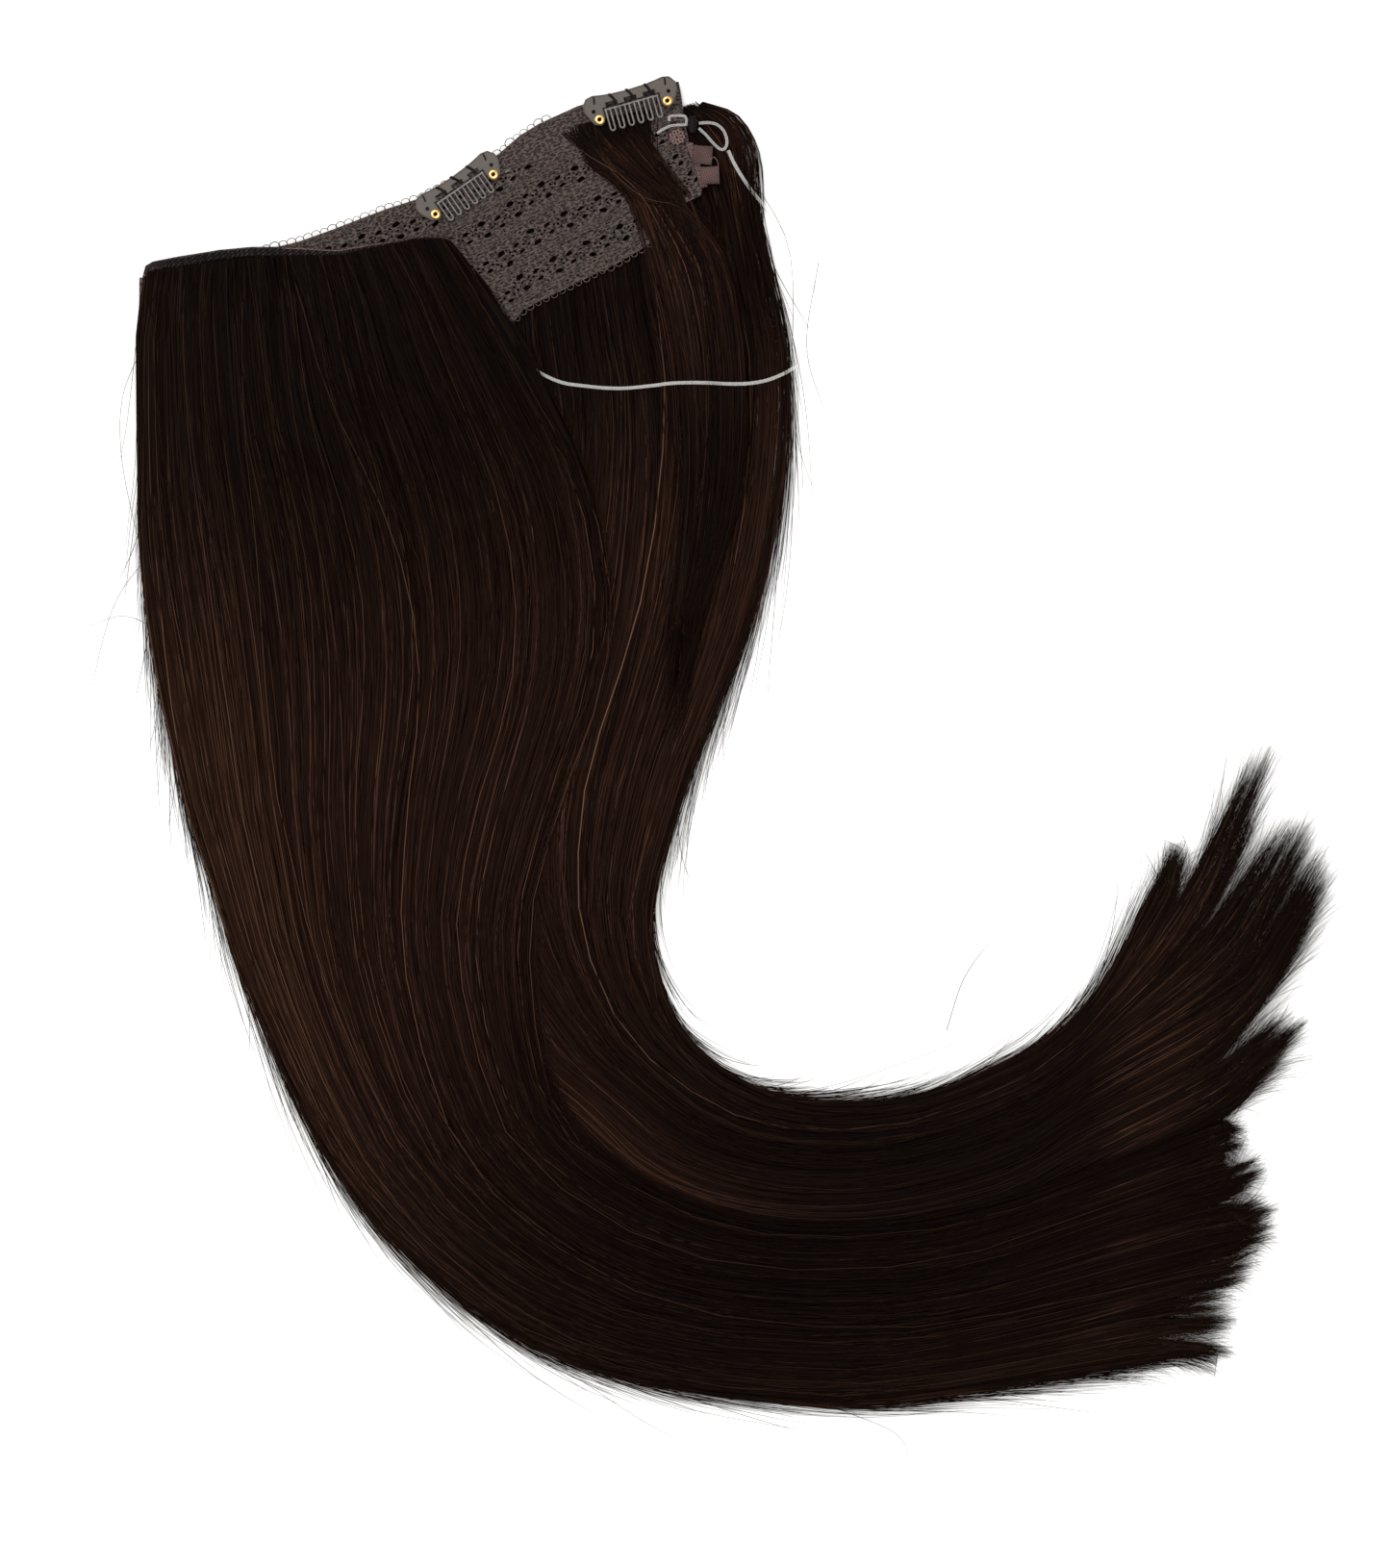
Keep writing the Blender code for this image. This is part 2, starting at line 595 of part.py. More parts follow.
def wing_underside(begin, wing_end, thick, seam, shares):
    """How high the wing's hair must start off the band: over the back hair, or else on the floor."""
    width_share = shares * wing_end
    back = back_height(width_share, begin, wing_end, thick, seam) + RIDGE
    below = widest_of_neighbours(np.where(width_share > begin - 0.05, back, 0.0))
    return np.where(below > 0, below + 2 * GAP, 0.0)


def hair_wing(parts):
    shares = columns_of([s.share for s in WING_SIDES])
    path, side = weft_line(60)
    root = along((path - side * (WEFT_WIDTH / 2 + 2 * GAP))[10:], shares)
    rows, extra = [root, across(WING_SECOND, 0.0, 1.0, shares)], []
    first = FLOW[0]
    for high in WING_ROOT_HIGH:
        extra.append((high, first.over, first.back_from, first.wing_to, first.back, first.seam))
    for row in FLOW:
        rows.append(across(row, 0.0, row.wing_to, shares))
        extra.append((row.wing, row.over, row.back_from, row.wing_to, row.back, row.seam))
    rows.append(apex_row(WING_SIDES))
    extra.append((APEX_HIGH, 0.0, FLOW[-1].back_from, FLOW[-1].wing_to, APEX_HIGH, 1.0))
    plan, more = smooth(rows, WING_COUNT), smooth(extra, WING_COUNT)
    high, over, begin, wing_end, thick, seam = more.T[:, :, None]
    over = np.clip(over, 0, 1)
    on_band = np.minimum(slope_height(plan[..., 0], plan[..., 1]), SLOPE_START + SLOPE_RISE * SLOPE_LONG)
    on_band = on_band + FOLD_RISE + LACE_WALL / 2 + GAP
    low = on_band * over + wing_underside(begin, wing_end, thick, seam, shares) * (1 - over)
    hump = high * arch(shares, EDGE_SHARE, EDGE_SHARE + (SEAM_SHARE - EDGE_SHARE) * seam)
    top = (on_band + hump * ON_BAND_SHARE) * over + hump * (1 - over)
    top = np.maximum(top, low + THINNEST) + RIDGE * ridges(len(shares))
    mesh = fused_locks(plan, top, low, WING_TIPS, TIP_REST)
    add_part("hair_wing", mesh, (HAIR_BROWN, 0.45, 0.0), parts, 40)


def hair_end_lock(parts):
    shares = columns_of(END_LOCK_SHARES)
    plan = smooth([across(row, 0.0, 1.0, shares) for row in END_LOCK], END_LOCK_COUNT)
    thick = smooth([(row.thick,) for row in END_LOCK], END_LOCK_COUNT)
    over_lace = slope_height(plan[..., 0], plan[..., 1]) + LACE_WALL / 2 + GAP
    low = np.minimum(over_lace, BACK_CEILING + GAP + 0.1)
    top = low + thick * arch(shares, EDGE_SHARE, EDGE_SHARE) + RIDGE / 2 * ridges(len(shares))
    mesh = fused_locks(plan, top, low, END_LOCK_TIPS, BACK_CEILING + GAP + 0.1)
    add_part("hair_end_lock", mesh, (HAIR_BROWN, 0.45, 0.0), parts, 40)


def mirrored(points):
    """A whole outline from its right half, whose first point lies on the middle line."""
    return [(-x, y) for x, y in points[::-1]] + points[1:]


def circle(x, y, radius, sides=12):
    turn = [2 * math.pi * i / sides for i in range(sides)]
    return [(x + radius * math.cos(a), y + radius * math.sin(a)) for a in turn]


def place_on_clip(mesh, clip, lift):
    """Turns a flat mesh drawn in the clip's own millimetres to the clip's place on the band."""
    turn = Matrix.Rotation(math.radians(clip.angle), 4, "Z")
    mesh.transform(Matrix.Translation((clip.x * MM, clip.y * MM, 0.0)) @ turn)
    lay_on_band(mesh, lift)


def clip_plate(clip, parts):
    holes = [circle(side * EYELET_APART / 2, 0.0, EYELET_HOLE) for side in (-1, 1)]
    holes += [circle(side * LOBE_HOLE_X, LOBE_HOLE_Y, LOBE_HOLE_R, 8) for side in (-1, 1)]
    mesh = flat_shape(mirrored(PLATE_HALF), holes, PLATE_THICK)
    place_on_clip(mesh, clip, clip.lift + PLATE_THICK / 2)
    add_part(f"clip_plate_{clip.name}", mesh, (PLATE_TAUPE, 0.4, 0.6), parts)


def comb_outline():
    """The comb's bar with its teeth, and the slot down the middle of each tooth."""
    bar_top, bar_low = COMB_HINGE_Y + COMB_BAR_HALF, COMB_HINGE_Y - COMB_BAR_HALF
    outline = [(COMB_HALF_LONG, bar_low), (COMB_HALF_LONG, bar_top), (-COMB_HALF_LONG, bar_top)]
    outline.append((-COMB_HALF_LONG, bar_low))
    slots = []
    for i in range(COMB_TEETH):
        middle = (i - (COMB_TEETH - 1) / 2) * COMB_PITCH
        bend = COMB_TOOTH_END + COMB_TOOTH_HALF
        outline.append((middle - COMB_TOOTH_HALF, bar_low))
        for k in range(4):
            angle = math.pi * (1 + k / 3)
            outline.append((middle + COMB_TOOTH_HALF * math.cos(angle), bend + COMB_TOOTH_HALF * math.sin(angle)))
        outline.append((middle + COMB_TOOTH_HALF, bar_low))
        wide = COMB_SLOT_HALF
        slots.append([(middle - wide, bend), (middle, bend - wide), (middle + wide, bend),
                      (middle + wide, COMB_SLOT_TOP), (middle - wide, COMB_SLOT_TOP)])
    return outline, slots


def clip_comb(clip, parts):
    """The toothed comb, with its origin on the line that it snaps open about."""
    outline, slots = comb_outline()
    mesh = flat_shape(outline, slots, COMB_THICK)
    lift = clip.lift + COMB_THICK / 2
    place_on_clip(mesh, clip, lift)
    angle = math.radians(clip.angle)
    x, y = clip.x - COMB_HINGE_Y * math.sin(angle), clip.y + COMB_HINGE_Y * math.cos(angle)
    hinge = world(x, y, slope_height(x, y) + lift)
    mesh.transform(Matrix.Translation(-hinge))
    comb = add_part(f"clip_comb_{clip.name}", mesh, (COMB_GREY, 0.3, 0.5), parts)
    comb.location = hinge


def eyelet(clip, side, parts):
    """A turned brass eyelet: a flange over the plate, and a tube down through it."""
    foot, seat = 0.0, PLATE_THICK + GAP
    lip = EYELET_HIGH - 0.2
    profile = [
        (EYELET_BORE, foot), (EYELET_TUBE, foot), (EYELET_TUBE, seat), (EYELET_FLANGE, seat),
        (EYELET_FLANGE * 0.93, seat + 0.5), (EYELET_BORE + 0.25, EYELET_HIGH), (EYELET_BORE, lip),
    ]
    bm = bmesh.new()
    rings = []
    for i in range(EYELET_SIDES):
        angle = 2 * math.pi * i / EYELET_SIDES
        rings.append([bm.verts.new((r * math.cos(angle) * MM, r * math.sin(angle) * MM, z * MM)) for r, z in profile])
    for i, ring in enumerate(rings):
        ahead = rings[(i + 1) % len(rings)]
        for k in range(len(profile)):
            j = (k + 1) % len(profile)
            bm.faces.new((ring[k], ahead[k], ahead[j], ring[j]))
    mesh = mesh_of(bm)
    mesh.transform(Matrix.Translation((side * EYELET_APART / 2 * MM, 0.0, 0.0)))
    place_on_clip(mesh, clip, clip.lift)
    end = "left" if side < 0 else "right"
    add_part(f"eyelet_{clip.name}_{end}", mesh, (BRASS, 0.25, 1.0), parts, 40)


def flat_piece(name, outline, thick, lift, finish, parts):
    """A flat sewn piece that lies along the band's slope."""
    mesh = flat_shape(outline, [], thick)
    lay_on_band(mesh, lift + thick / 2)
    add_part(name, mesh, finish, parts)


def right_end(parts):
    """The hem, the two ribbon loops and the stitched knot at the band's right end."""
    mauve = (RIBBON_MAUVE, 0.6, 0.0)
    on_lace = LACE_WALL / 2 + GAP
    flat_piece("end_hem", HEM, HEM_THICK, on_lace, mauve, parts)
    flat_piece("ribbon_loop_upper", RIBBON_UPPER, RIBBON_THICK, on_lace, mauve, parts)
    flat_piece("ribbon_loop_lower", RIBBON_LOWER, RIBBON_THICK, on_lace, mauve, parts)
    flat_piece("end_rosette", circle(*ROSETTE, ROSETTE_RADIUS, 10), ROSETTE_THICK, on_lace, mauve, parts)


def strand_on_band(name, path, lift, count, parts):
    points = smooth(path, count)
    places = [world(x, y, slope_height(x, y) + lift) for x, y in points]
    add_part(name, tube(places, STRAND), (CLEAR, 0.12, 0.0), parts, 60)


def clear_ends(parts):
    """The clear loops at the right end, and the tie that holds them."""
    lift = LACE_WALL / 2 + GAP + STRAND / 2
    strand_on_band("clear_loop", CLEAR_LOOP, lift, CLEAR_LOOP_POINTS, parts)
    strand_on_band("wire_end_loop", END_LOOP, lift, END_LOOP_POINTS, parts)
    outline = [(x * KNOT_SLIM + KNOT[0], y + KNOT[1]) for x, y in circle(0.0, 0.0, KNOT_LONG / 2, 10)]
    flat_piece("wire_knot", outline, KNOT_HIGH, LACE_WALL / 2 + GAP, (HAIR_BROWN, 0.7, 0.0), parts)


def halo_wire(parts):
    """The clear wire: one smooth line through its own route, from the end loop to the folded end."""
    places = [world(*p) for p in smooth(WIRE, WIRE_POINTS)]
    add_part("halo_wire", tube(places, STRAND), (CLEAR, 0.12, 0.0), parts, 60)


def build():
    clear_scene()
    parts = new_collection(NAME)
    lace_base(parts)
    wing_weft(parts)
    hair_back(parts)
    hair_wing(parts)
    hair_end_lock(parts)
    for clip in CLIPS:
        clip_plate(clip, parts)
        clip_comb(clip, parts)
        for side in (-1, 1):
            eyelet(clip, side, parts)
    right_end(parts)
    clear_ends(parts)
    halo_wire(parts)


build()
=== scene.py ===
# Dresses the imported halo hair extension. Plan measures are in millimetres from the band's fold corner.
import math

import bmesh
import bpy
import numpy as np
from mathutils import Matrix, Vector
from mathutils.bvhtree import BVHTree


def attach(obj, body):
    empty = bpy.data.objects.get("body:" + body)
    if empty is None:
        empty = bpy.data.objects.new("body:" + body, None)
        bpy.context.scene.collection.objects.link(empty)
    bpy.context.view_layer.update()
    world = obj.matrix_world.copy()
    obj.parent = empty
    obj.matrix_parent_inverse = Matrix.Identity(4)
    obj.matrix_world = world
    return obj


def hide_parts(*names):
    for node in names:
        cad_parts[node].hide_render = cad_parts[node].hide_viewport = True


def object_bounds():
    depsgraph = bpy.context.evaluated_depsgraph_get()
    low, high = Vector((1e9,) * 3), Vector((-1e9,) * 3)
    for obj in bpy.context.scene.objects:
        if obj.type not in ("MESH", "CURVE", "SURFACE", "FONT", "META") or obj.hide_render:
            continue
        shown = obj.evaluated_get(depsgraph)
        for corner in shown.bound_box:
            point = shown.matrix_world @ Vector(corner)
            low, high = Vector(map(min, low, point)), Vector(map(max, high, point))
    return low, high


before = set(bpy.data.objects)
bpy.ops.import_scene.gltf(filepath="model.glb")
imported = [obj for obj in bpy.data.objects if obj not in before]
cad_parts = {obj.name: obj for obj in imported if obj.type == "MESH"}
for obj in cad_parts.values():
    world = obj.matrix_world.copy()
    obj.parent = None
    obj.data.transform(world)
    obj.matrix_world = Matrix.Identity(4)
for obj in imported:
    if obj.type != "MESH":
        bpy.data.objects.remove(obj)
cadBox = [list(corner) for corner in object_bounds()]
stageScene = bpy.context.scene

mm = 0.001
originX, originY = 203.28, -157.82  # the frame's origin, in plan millimetres
slopeStart, slopeRise, slopeAngle = 1.8, 0.055, math.atan2(68.7, 184.0)


def slopeHeight(x, y):  # the middle of the lace wall over a plan place
    return slopeStart + slopeRise * (x * np.sin(slopeAngle) - (y + 0.7) * np.cos(slopeAngle))


def place(x, y, z):
    return Vector(((x - originX) * mm, (y - originY) * mm, z * mm))


def placeAll(points):
    return (np.asarray(points, float) - (originX, originY, 0.0)) * mm


# a smooth curve through points (rows first), read at the given row numbers
def catmull(points, at):
    p = np.asarray(points, float)
    p = np.concatenate([(2 * p[0] - p[1])[None], p, (2 * p[-1] - p[-2])[None]])
    k = np.clip(np.floor(at).astype(int), 0, len(p) - 4)
    t = at - k
    if at.ndim == 2:
        each = np.arange(at.shape[1])[None, :]
        a, b, c, d = p[k, each], p[k + 1, each], p[k + 2, each], p[k + 3, each]
    else:
        a, b, c, d = p[k], p[k + 1], p[k + 2], p[k + 3]
    t = t.reshape(t.shape + (1,) * (a.ndim - t.ndim))
    return 0.5 * (2 * b + (c - a) * t + (2 * a - 5 * b + 4 * c - d) * t**2 + (3 * b - a - 3 * c + d) * t**3)


def smooth(points, count):
    return catmull(points, np.linspace(0, len(points) - 1, count))


# places at shares of the length of a run of points
def alongLine(points, share):
    p = np.asarray(points, float)
    steps = np.concatenate([[0], np.cumsum(np.linalg.norm(np.diff(p, axis=0), axis=1))])
    return np.stack([np.interp(share * steps[-1], steps, p[:, k]) for k in range(p.shape[1])], axis=-1)


# where the hair runs: outer edge, inner edge, where the back hair begins and the wing's ends

flow = np.array([
    (-0.5, -62.0, 212.0, 13.0, 0.07, 0.565),
    (0.0, -82.5, 219.0, -18.0, 0.07, 0.64),
    (1.5, -102.5, 220.0, -49.5, 0.07, 0.685),
    (4.0, -120.5, 216.0, -84.0, 0.07, 0.72),
    (7.5, -141.5, 208.5, -115.5, 0.08, 0.74),
    (12.0, -162.5, 198.5, -142.5, 0.09, 0.74),
    (17.0, -183.5, 188.5, -166.5, 0.11, 0.72),
    (24.5, -206.0, 180.0, -192.5, 0.16, 0.69),
    (32.5, -232.5, 174.5, -213.0, 0.25, 0.65),
    (43.5, -259.0, 175.0, -233.5, 0.36, 0.61),
    (58.5, -291.0, 182.0, -254.0, 0.46, 0.56),
    (78.0, -320.0, 193.5, -267.5, 0.54, 0.51),
    (105.5, -346.5, 208.5, -277.0, 0.52, 0.51),
    (136.0, -366.5, 225.0, -282.0, 0.52, 0.51),
    (170.5, -378.0, 245.0, -283.0, 0.51, 0.50),
    (208.5, -383.5, 268.0, -280.5, 0.51, 0.50),
    (248.0, -385.0, 291.0, -271.5, 0.50, 0.49),
    (284.5, -380.0, 311.0, -261.5, 0.50, 0.49),
    (314.0, -375.5, 329.0, -244.0, 0.50, 0.49),
])
# the wing's hair and the back's run a little over each other past the bend, where their solids keep apart
blend = np.interp(np.arange(len(flow)), (7, 10, 15, 18), (0.0, 0.028, 0.024, 0.006))
flow[:, 5] += blend
flow[:, 4] -= blend
flow[0, 5] = 0.6  # loose hair lies out over the end of the wire
backRoots = np.array([(5.5, -8.0, 187.5, 60.5), (1.5, -31.5, 205.5, 43.0)])
wingSecond = np.array((-1.3, -20.0, 117.5, -3.0))
weftPath = [
    (1.8, 1.8), (2.8, 3.6), (4.8, 4.6), (11.5, 5.5), (27.0, 8.0), (37.5, 9.0), (51.0, 9.0), (66.5, 8.2),
    (72.5, 9.0), (86.0, 11.0), (94.5, 12.5), (102.5, 12.5), (106.0, 11.4),
]
# each lock's side line: share of the width, and the place where it parts from the next lock
wingSides = np.array([
    (0.0, 344.0, -370.5), (0.09, 343.0, -364.5), (0.22, 345.0, -353.5), (0.36, 357.0, -342.0),
    (0.50, 365.0, -330.5), (0.66, 366.5, -318.5), (0.81, 366.5, -307.5), (1.0, 367.2, -291.0),
])
backSides = np.array([
    (0.0, 368.0, -289.0), (0.26, 366.0, -271.5), (0.56, 376.0, -243.0), (0.76, 359.0, -229.5),
    (0.90, 353.0, -217.5), (1.0, 345.5, -213.0),
])
# each lock's tip and its bow
wingTips = np.array([
    (374.5, -368.5, 0.6), (376.0, -357.0, 0.4), (380.0, -342.0, 0.3), (388.0, -328.5, -0.4),
    (388.5, -319.0, -0.5), (385.0, -305.5, 0.3), (378.5, -297.0, 0.2),
])
backTips = np.array([(399.5, -254.0, -1.0), (408.0, -203.0, -1.5), (402.5, -182.5, -1.2), (388.5, -157.5, -1.5),
                     (356.0, -194.5, -0.5)])
endLock = np.array([
    (149.0, 53.0, 174.3, 58.5), (154.5, 40.0, 174.6, 44.0), (167.0, 29.5, 179.0, 32.0), (173.0, 16.5, 188.5, 23.0),
    (179.0, -3.5, 201.0, 6.5), (184.0, -29.5, 207.0, -26.5), (186.0, -62.5, 207.0, -59.5), (184.0, -92.5, 202.0, -89.0),
    (181.0, -117.0, 193.0, -113.5),
])
endLockShares = np.array([0.0, 0.34, 0.68, 1.0])
endLockTips = np.array([(180.0, -140.0, 0.4), (183.0, -149.0, 0.4), (186.0, -138.0, 0.4)])


def across(row, start, end, share):
    outer, inner = row[0:2], row[2:4]
    return outer + (inner - outer) * (start + (end - start) * share)[..., None]


# places down the weft's middle line, and the way to its upper edge
def weftSide(count):
    path = smooth(weftPath, count)
    ahead = np.gradient(path, axis=0)
    ahead /= np.linalg.norm(ahead, axis=1)[:, None]
    return path, np.stack([-ahead[:, 1], ahead[:, 0]], axis=1)


endLockSides = np.column_stack([endLockShares, across(endLock[-1] + (-0.6, -4, -0.6, -4), 0, 1, endLockShares)])
lockSides = {"wing": wingSides, "back": backSides, "end": endLockSides}
lockTips = {"wing": wingTips, "back": backTips, "end": endLockTips}


# every lock ends in a few wisps: their shares, tips and bows
def makeWisps(settings):
    rng = np.random.default_rng(settings["seed"])
    out = {}
    for kind, sides in lockSides.items():
        rows, plan = [], settings[kind]
        for (low, *lowAt), (high, *highAt), (tipX, tipY, bow) in zip(sides, sides[1:], lockTips[kind]):
            lowAt, highAt, tip = np.array(lowAt), np.array(highAt), np.array((tipX, tipY))
            wide = np.linalg.norm(highAt - lowAt)
            count = max(2, int(round(wide / plan["apart"])))
            ahead = tip - (lowAt + highAt) / 2
            ahead /= np.linalg.norm(ahead)
            for i in range(count):
                middle = (i + 0.5 + rng.uniform(-0.2, 0.2)) / count
                side = (highAt - lowAt) * (middle - 0.5)
                main = i == count // 2
                back = 0.0 if main else (abs(rng.normal(0, 1)) + abs(middle - 0.5)) * plan["shorter"]
                end = tip + side * plan["splay"] * (not main) - ahead * back + rng.normal(0, 0.7, 2) * (not main)
                rows.append((low + (high - low) * middle, *end, bow + rng.normal(0, 0.8)))
        out[kind] = np.array(rows)
    return out


wisps = makeWisps(dict(seed=5, wing=dict(apart=3.3, shorter=3.4, splay=0.95),
                       back=dict(apart=4.8, shorter=6.0, splay=0.8),
                       end=dict(apart=4.8, shorter=6.0, splay=0.8)))


# Control rows of plan places for each share, from the root to the tip. shares is one row of numbers
# for each control row, or one for all. spread and reach move a strand's own end from its wisp's tip,
# and loose is how little it draws in towards that tip.
def hairRows(kind, shares, spread=0.0, reach=0.0, loose=0.0):
    shares = np.atleast_2d(shares)
    pick = lambda i: shares[min(i, len(shares) - 1)]
    rows = []
    if kind == "wing":
        path, side = weftSide(80)
        here = np.clip(pick(0), -0.01, 1.01)
        root = alongLine(path - side * 1.3, np.clip(here, 0, 1))
        over = np.interp(here, (0.42, 0.62, 0.8, 1.0), (0.0, 1.2, 2.3, 2.6))
        out = np.interp(here, (0.0, 0.06), (-2.4, 0.0))
        rows.append(root + over[:, None] * (0.1, 0.95) + out[:, None] * (1.0, 0.35))
        rows.append(across(wingSecond, 0.0, 1.0, pick(1)))
        rows += [across(r, 0.0, r[5], pick(i + 2)) for i, r in enumerate(flow)]
    elif kind == "back":
        rows += [across(r, flow[0][4], 1.0, pick(i)) for i, r in enumerate(backRoots)]
        rows += [across(r, r[4], 1.0, pick(i + 2)) for i, r in enumerate(flow)]
    else:
        rows += [across(r, 0.0, 1.0, pick(i)) for i, r in enumerate(endLock)]
    u = pick(len(rows))
    sides, ends = lockSides[kind], wisps[kind]
    between = lambda at: np.stack([np.interp(at, sides[:, 0], sides[:, k]) for k in (1, 2)], axis=-1)
    apex = between(u) + np.where(u < 0, u, np.where(u > 1, u - 1, 0))[:, None] * (sides[-1, 1:] - sides[0, 1:])
    mine = ends[np.abs(u[:, None] - ends[None, :, 0]).argmin(axis=1)]
    root = between(mine[:, 0])
    straight = mine[:, 1:3] - root
    length = np.linalg.norm(straight, axis=1, keepdims=True)
    aside = np.stack([-straight[:, 1], straight[:, 0]], axis=-1) / length
    own = apex - root
    loose = np.reshape(loose, (-1, 1))
    tip = mine[:, 1:3] + own * loose * 0.8 + aside * np.reshape(spread, (-1, 1))
    tip = tip + straight / length * np.reshape(reach, (-1, 1))
    middle = root + (tip - own * loose * 0.8 - root) * 0.52 + own * (0.3 + 0.6 * loose) + aside * mine[:, 3:4]
    rows += [apex, middle, tip]
    return np.array(rows)


# rays start well over the object, and well under it for the lower sides
rayOver, rayUnder = 60.0, -5.0
up, down = Vector((0, 0, 1)), Vector((0, 0, -1))
treeOf = {}
for nodeName in ("hair_back", "hair_wing", "hair_end_lock", "lace_base", "wing_weft"):
    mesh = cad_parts[nodeName].data
    mesh.calc_loop_triangles()
    treeOf[nodeName] = BVHTree.FromPolygons([v.co for v in mesh.vertices],
                                            [tuple(t.vertices) for t in mesh.loop_triangles])


# plan places laid on the lace wall's slope, this far over its middle
def onSlope(line, lift):
    return placeAll(np.column_stack([line, slopeHeight(line[:, 0], line[:, 1]) + lift]))


# the height of the first of these solids under each plan place, in millimetres
def topOf(nodes, plan):
    flat = placeAll(np.column_stack([plan.reshape(-1, 2), np.full(plan.size // 2, rayOver)]))
    out = np.full(len(flat), np.nan)
    for i, p in enumerate(flat):
        found = [hit.z for hit in (treeOf[n].ray_cast(p, down)[0] for n in nodes) if hit is not None]
        if found:
            out[i] = max(found) / mm
    return out.reshape(plan.shape[:-1])


# fills places that met no solid from the nearest ones in the same column
def filled(values, fallback=0.4):
    out = values.copy()
    index = np.arange(len(out))
    for c in np.nonzero(np.isnan(out).any(axis=0))[0]:
        seen = ~np.isnan(out[:, c])
        out[:, c] = np.interp(index, index[seen], out[seen, c]) if seen.any() else fallback
    return out


# the same from below, for one solid
def underOf(node, plan):
    flat = placeAll(np.column_stack([plan.reshape(-1, 2), np.full(plan.size // 2, rayUnder)]))
    out = np.full(len(flat), np.nan)
    for i, p in enumerate(flat):
        hit = treeOf[node].ray_cast(p, up)[0]
        if hit is not None:
            out[i] = hit.z / mm
    return out.reshape(plan.shape[:-1])


# materials

# a Principled material with its plain numbers set on the shader's own sockets
def newMaterial(name, settings):
    made = bpy.data.materials.new(name)
    made.use_nodes = True
    shader = made.node_tree.nodes["Principled BSDF"]
    for socket, value in settings.items():
        shader.inputs[socket].default_value = value
    return made, shader


def newGroup(name, inputs, outputs):
    tree = bpy.data.node_groups.new(name, "ShaderNodeTree")
    for kind, label, value in inputs:
        socket = tree.interface.new_socket(name=label, in_out="INPUT", socket_type=kind)
        if value is not None:
            socket.default_value = value
    for kind, label in outputs:
        tree.interface.new_socket(name=label, in_out="OUTPUT", socket_type=kind)
    return tree, tree.nodes.new("NodeGroupInput"), tree.nodes.new("NodeGroupOutput")


# inputs that are sockets are linked, and plain values set on the node's own sockets
def addNode(tree, kind, settings=None, inputs=None):
    node = tree.nodes.new(kind)
    for key, value in (settings or {}).items():
        setattr(node, key, value)
    for key, value in (inputs or {}).items():
        if isinstance(value, bpy.types.NodeSocket):
            tree.links.new(value, node.inputs[key])
        else:
            node.inputs[key].default_value = value
    return node


def mixColour(tree, factor, first, second):
    return addNode(tree, "ShaderNodeMix", {"data_type": "RGBA"}, {0: factor, 6: first, 7: second}).outputs[2]


# hair colour and fine relief over a mass: streaks that follow its UV, across in u and along in v
def makeStreaks():
    tree, into, out = newGroup("hairStreaks", [
        ("NodeSocketVector", "Vector", None), ("NodeSocketFloat", "Fineness", 500.0),
        ("NodeSocketColor", "Dark", (0.0016, 0.0009, 0.0007, 1)),
        ("NodeSocketColor", "Brown", (0.013, 0.0065, 0.004, 1)),
    ], [("NodeSocketColor", "Color"), ("NodeSocketFloat", "Roughness"), ("NodeSocketFloat", "Height")])
    split = addNode(tree, "ShaderNodeSeparateXYZ", inputs={0: into.outputs["Vector"]})
    fineX = addNode(tree, "ShaderNodeMath", {"operation": "MULTIPLY"},
                    {0: split.outputs[0], 1: into.outputs["Fineness"]})
    alongY = addNode(tree, "ShaderNodeMath", {"operation": "MULTIPLY"}, {0: split.outputs[1], 1: 6.0})
    coords = addNode(tree, "ShaderNodeCombineXYZ", inputs={0: fineX.outputs[0], 1: alongY.outputs[0]})
    fine = addNode(tree, "ShaderNodeTexNoise",
                   inputs={"Vector": coords.outputs[0], "Scale": 1.0, "Detail": 4.0, "Roughness": 0.7})
    broad = addNode(tree, "ShaderNodeTexNoise", inputs={"Vector": coords.outputs[0], "Scale": 0.12, "Detail": 2.0})
    both = addNode(tree, "ShaderNodeMath", {"operation": "MULTIPLY"}, {0: fine.outputs[0], 1: broad.outputs[0]})
    ramp = addNode(tree, "ShaderNodeMapRange", inputs={"Value": both.outputs[0], "From Min": 0.2, "From Max": 0.42})
    colour = mixColour(tree, ramp.outputs[0], into.outputs["Dark"], into.outputs["Brown"])
    rough = addNode(tree, "ShaderNodeMapRange", inputs={"Value": fine.outputs[0], "To Min": 0.5, "To Max": 0.75})
    tree.links.new(colour, out.inputs["Color"])
    tree.links.new(rough.outputs[0], out.inputs["Roughness"])
    tree.links.new(fine.outputs[0], out.inputs["Height"])
    return tree


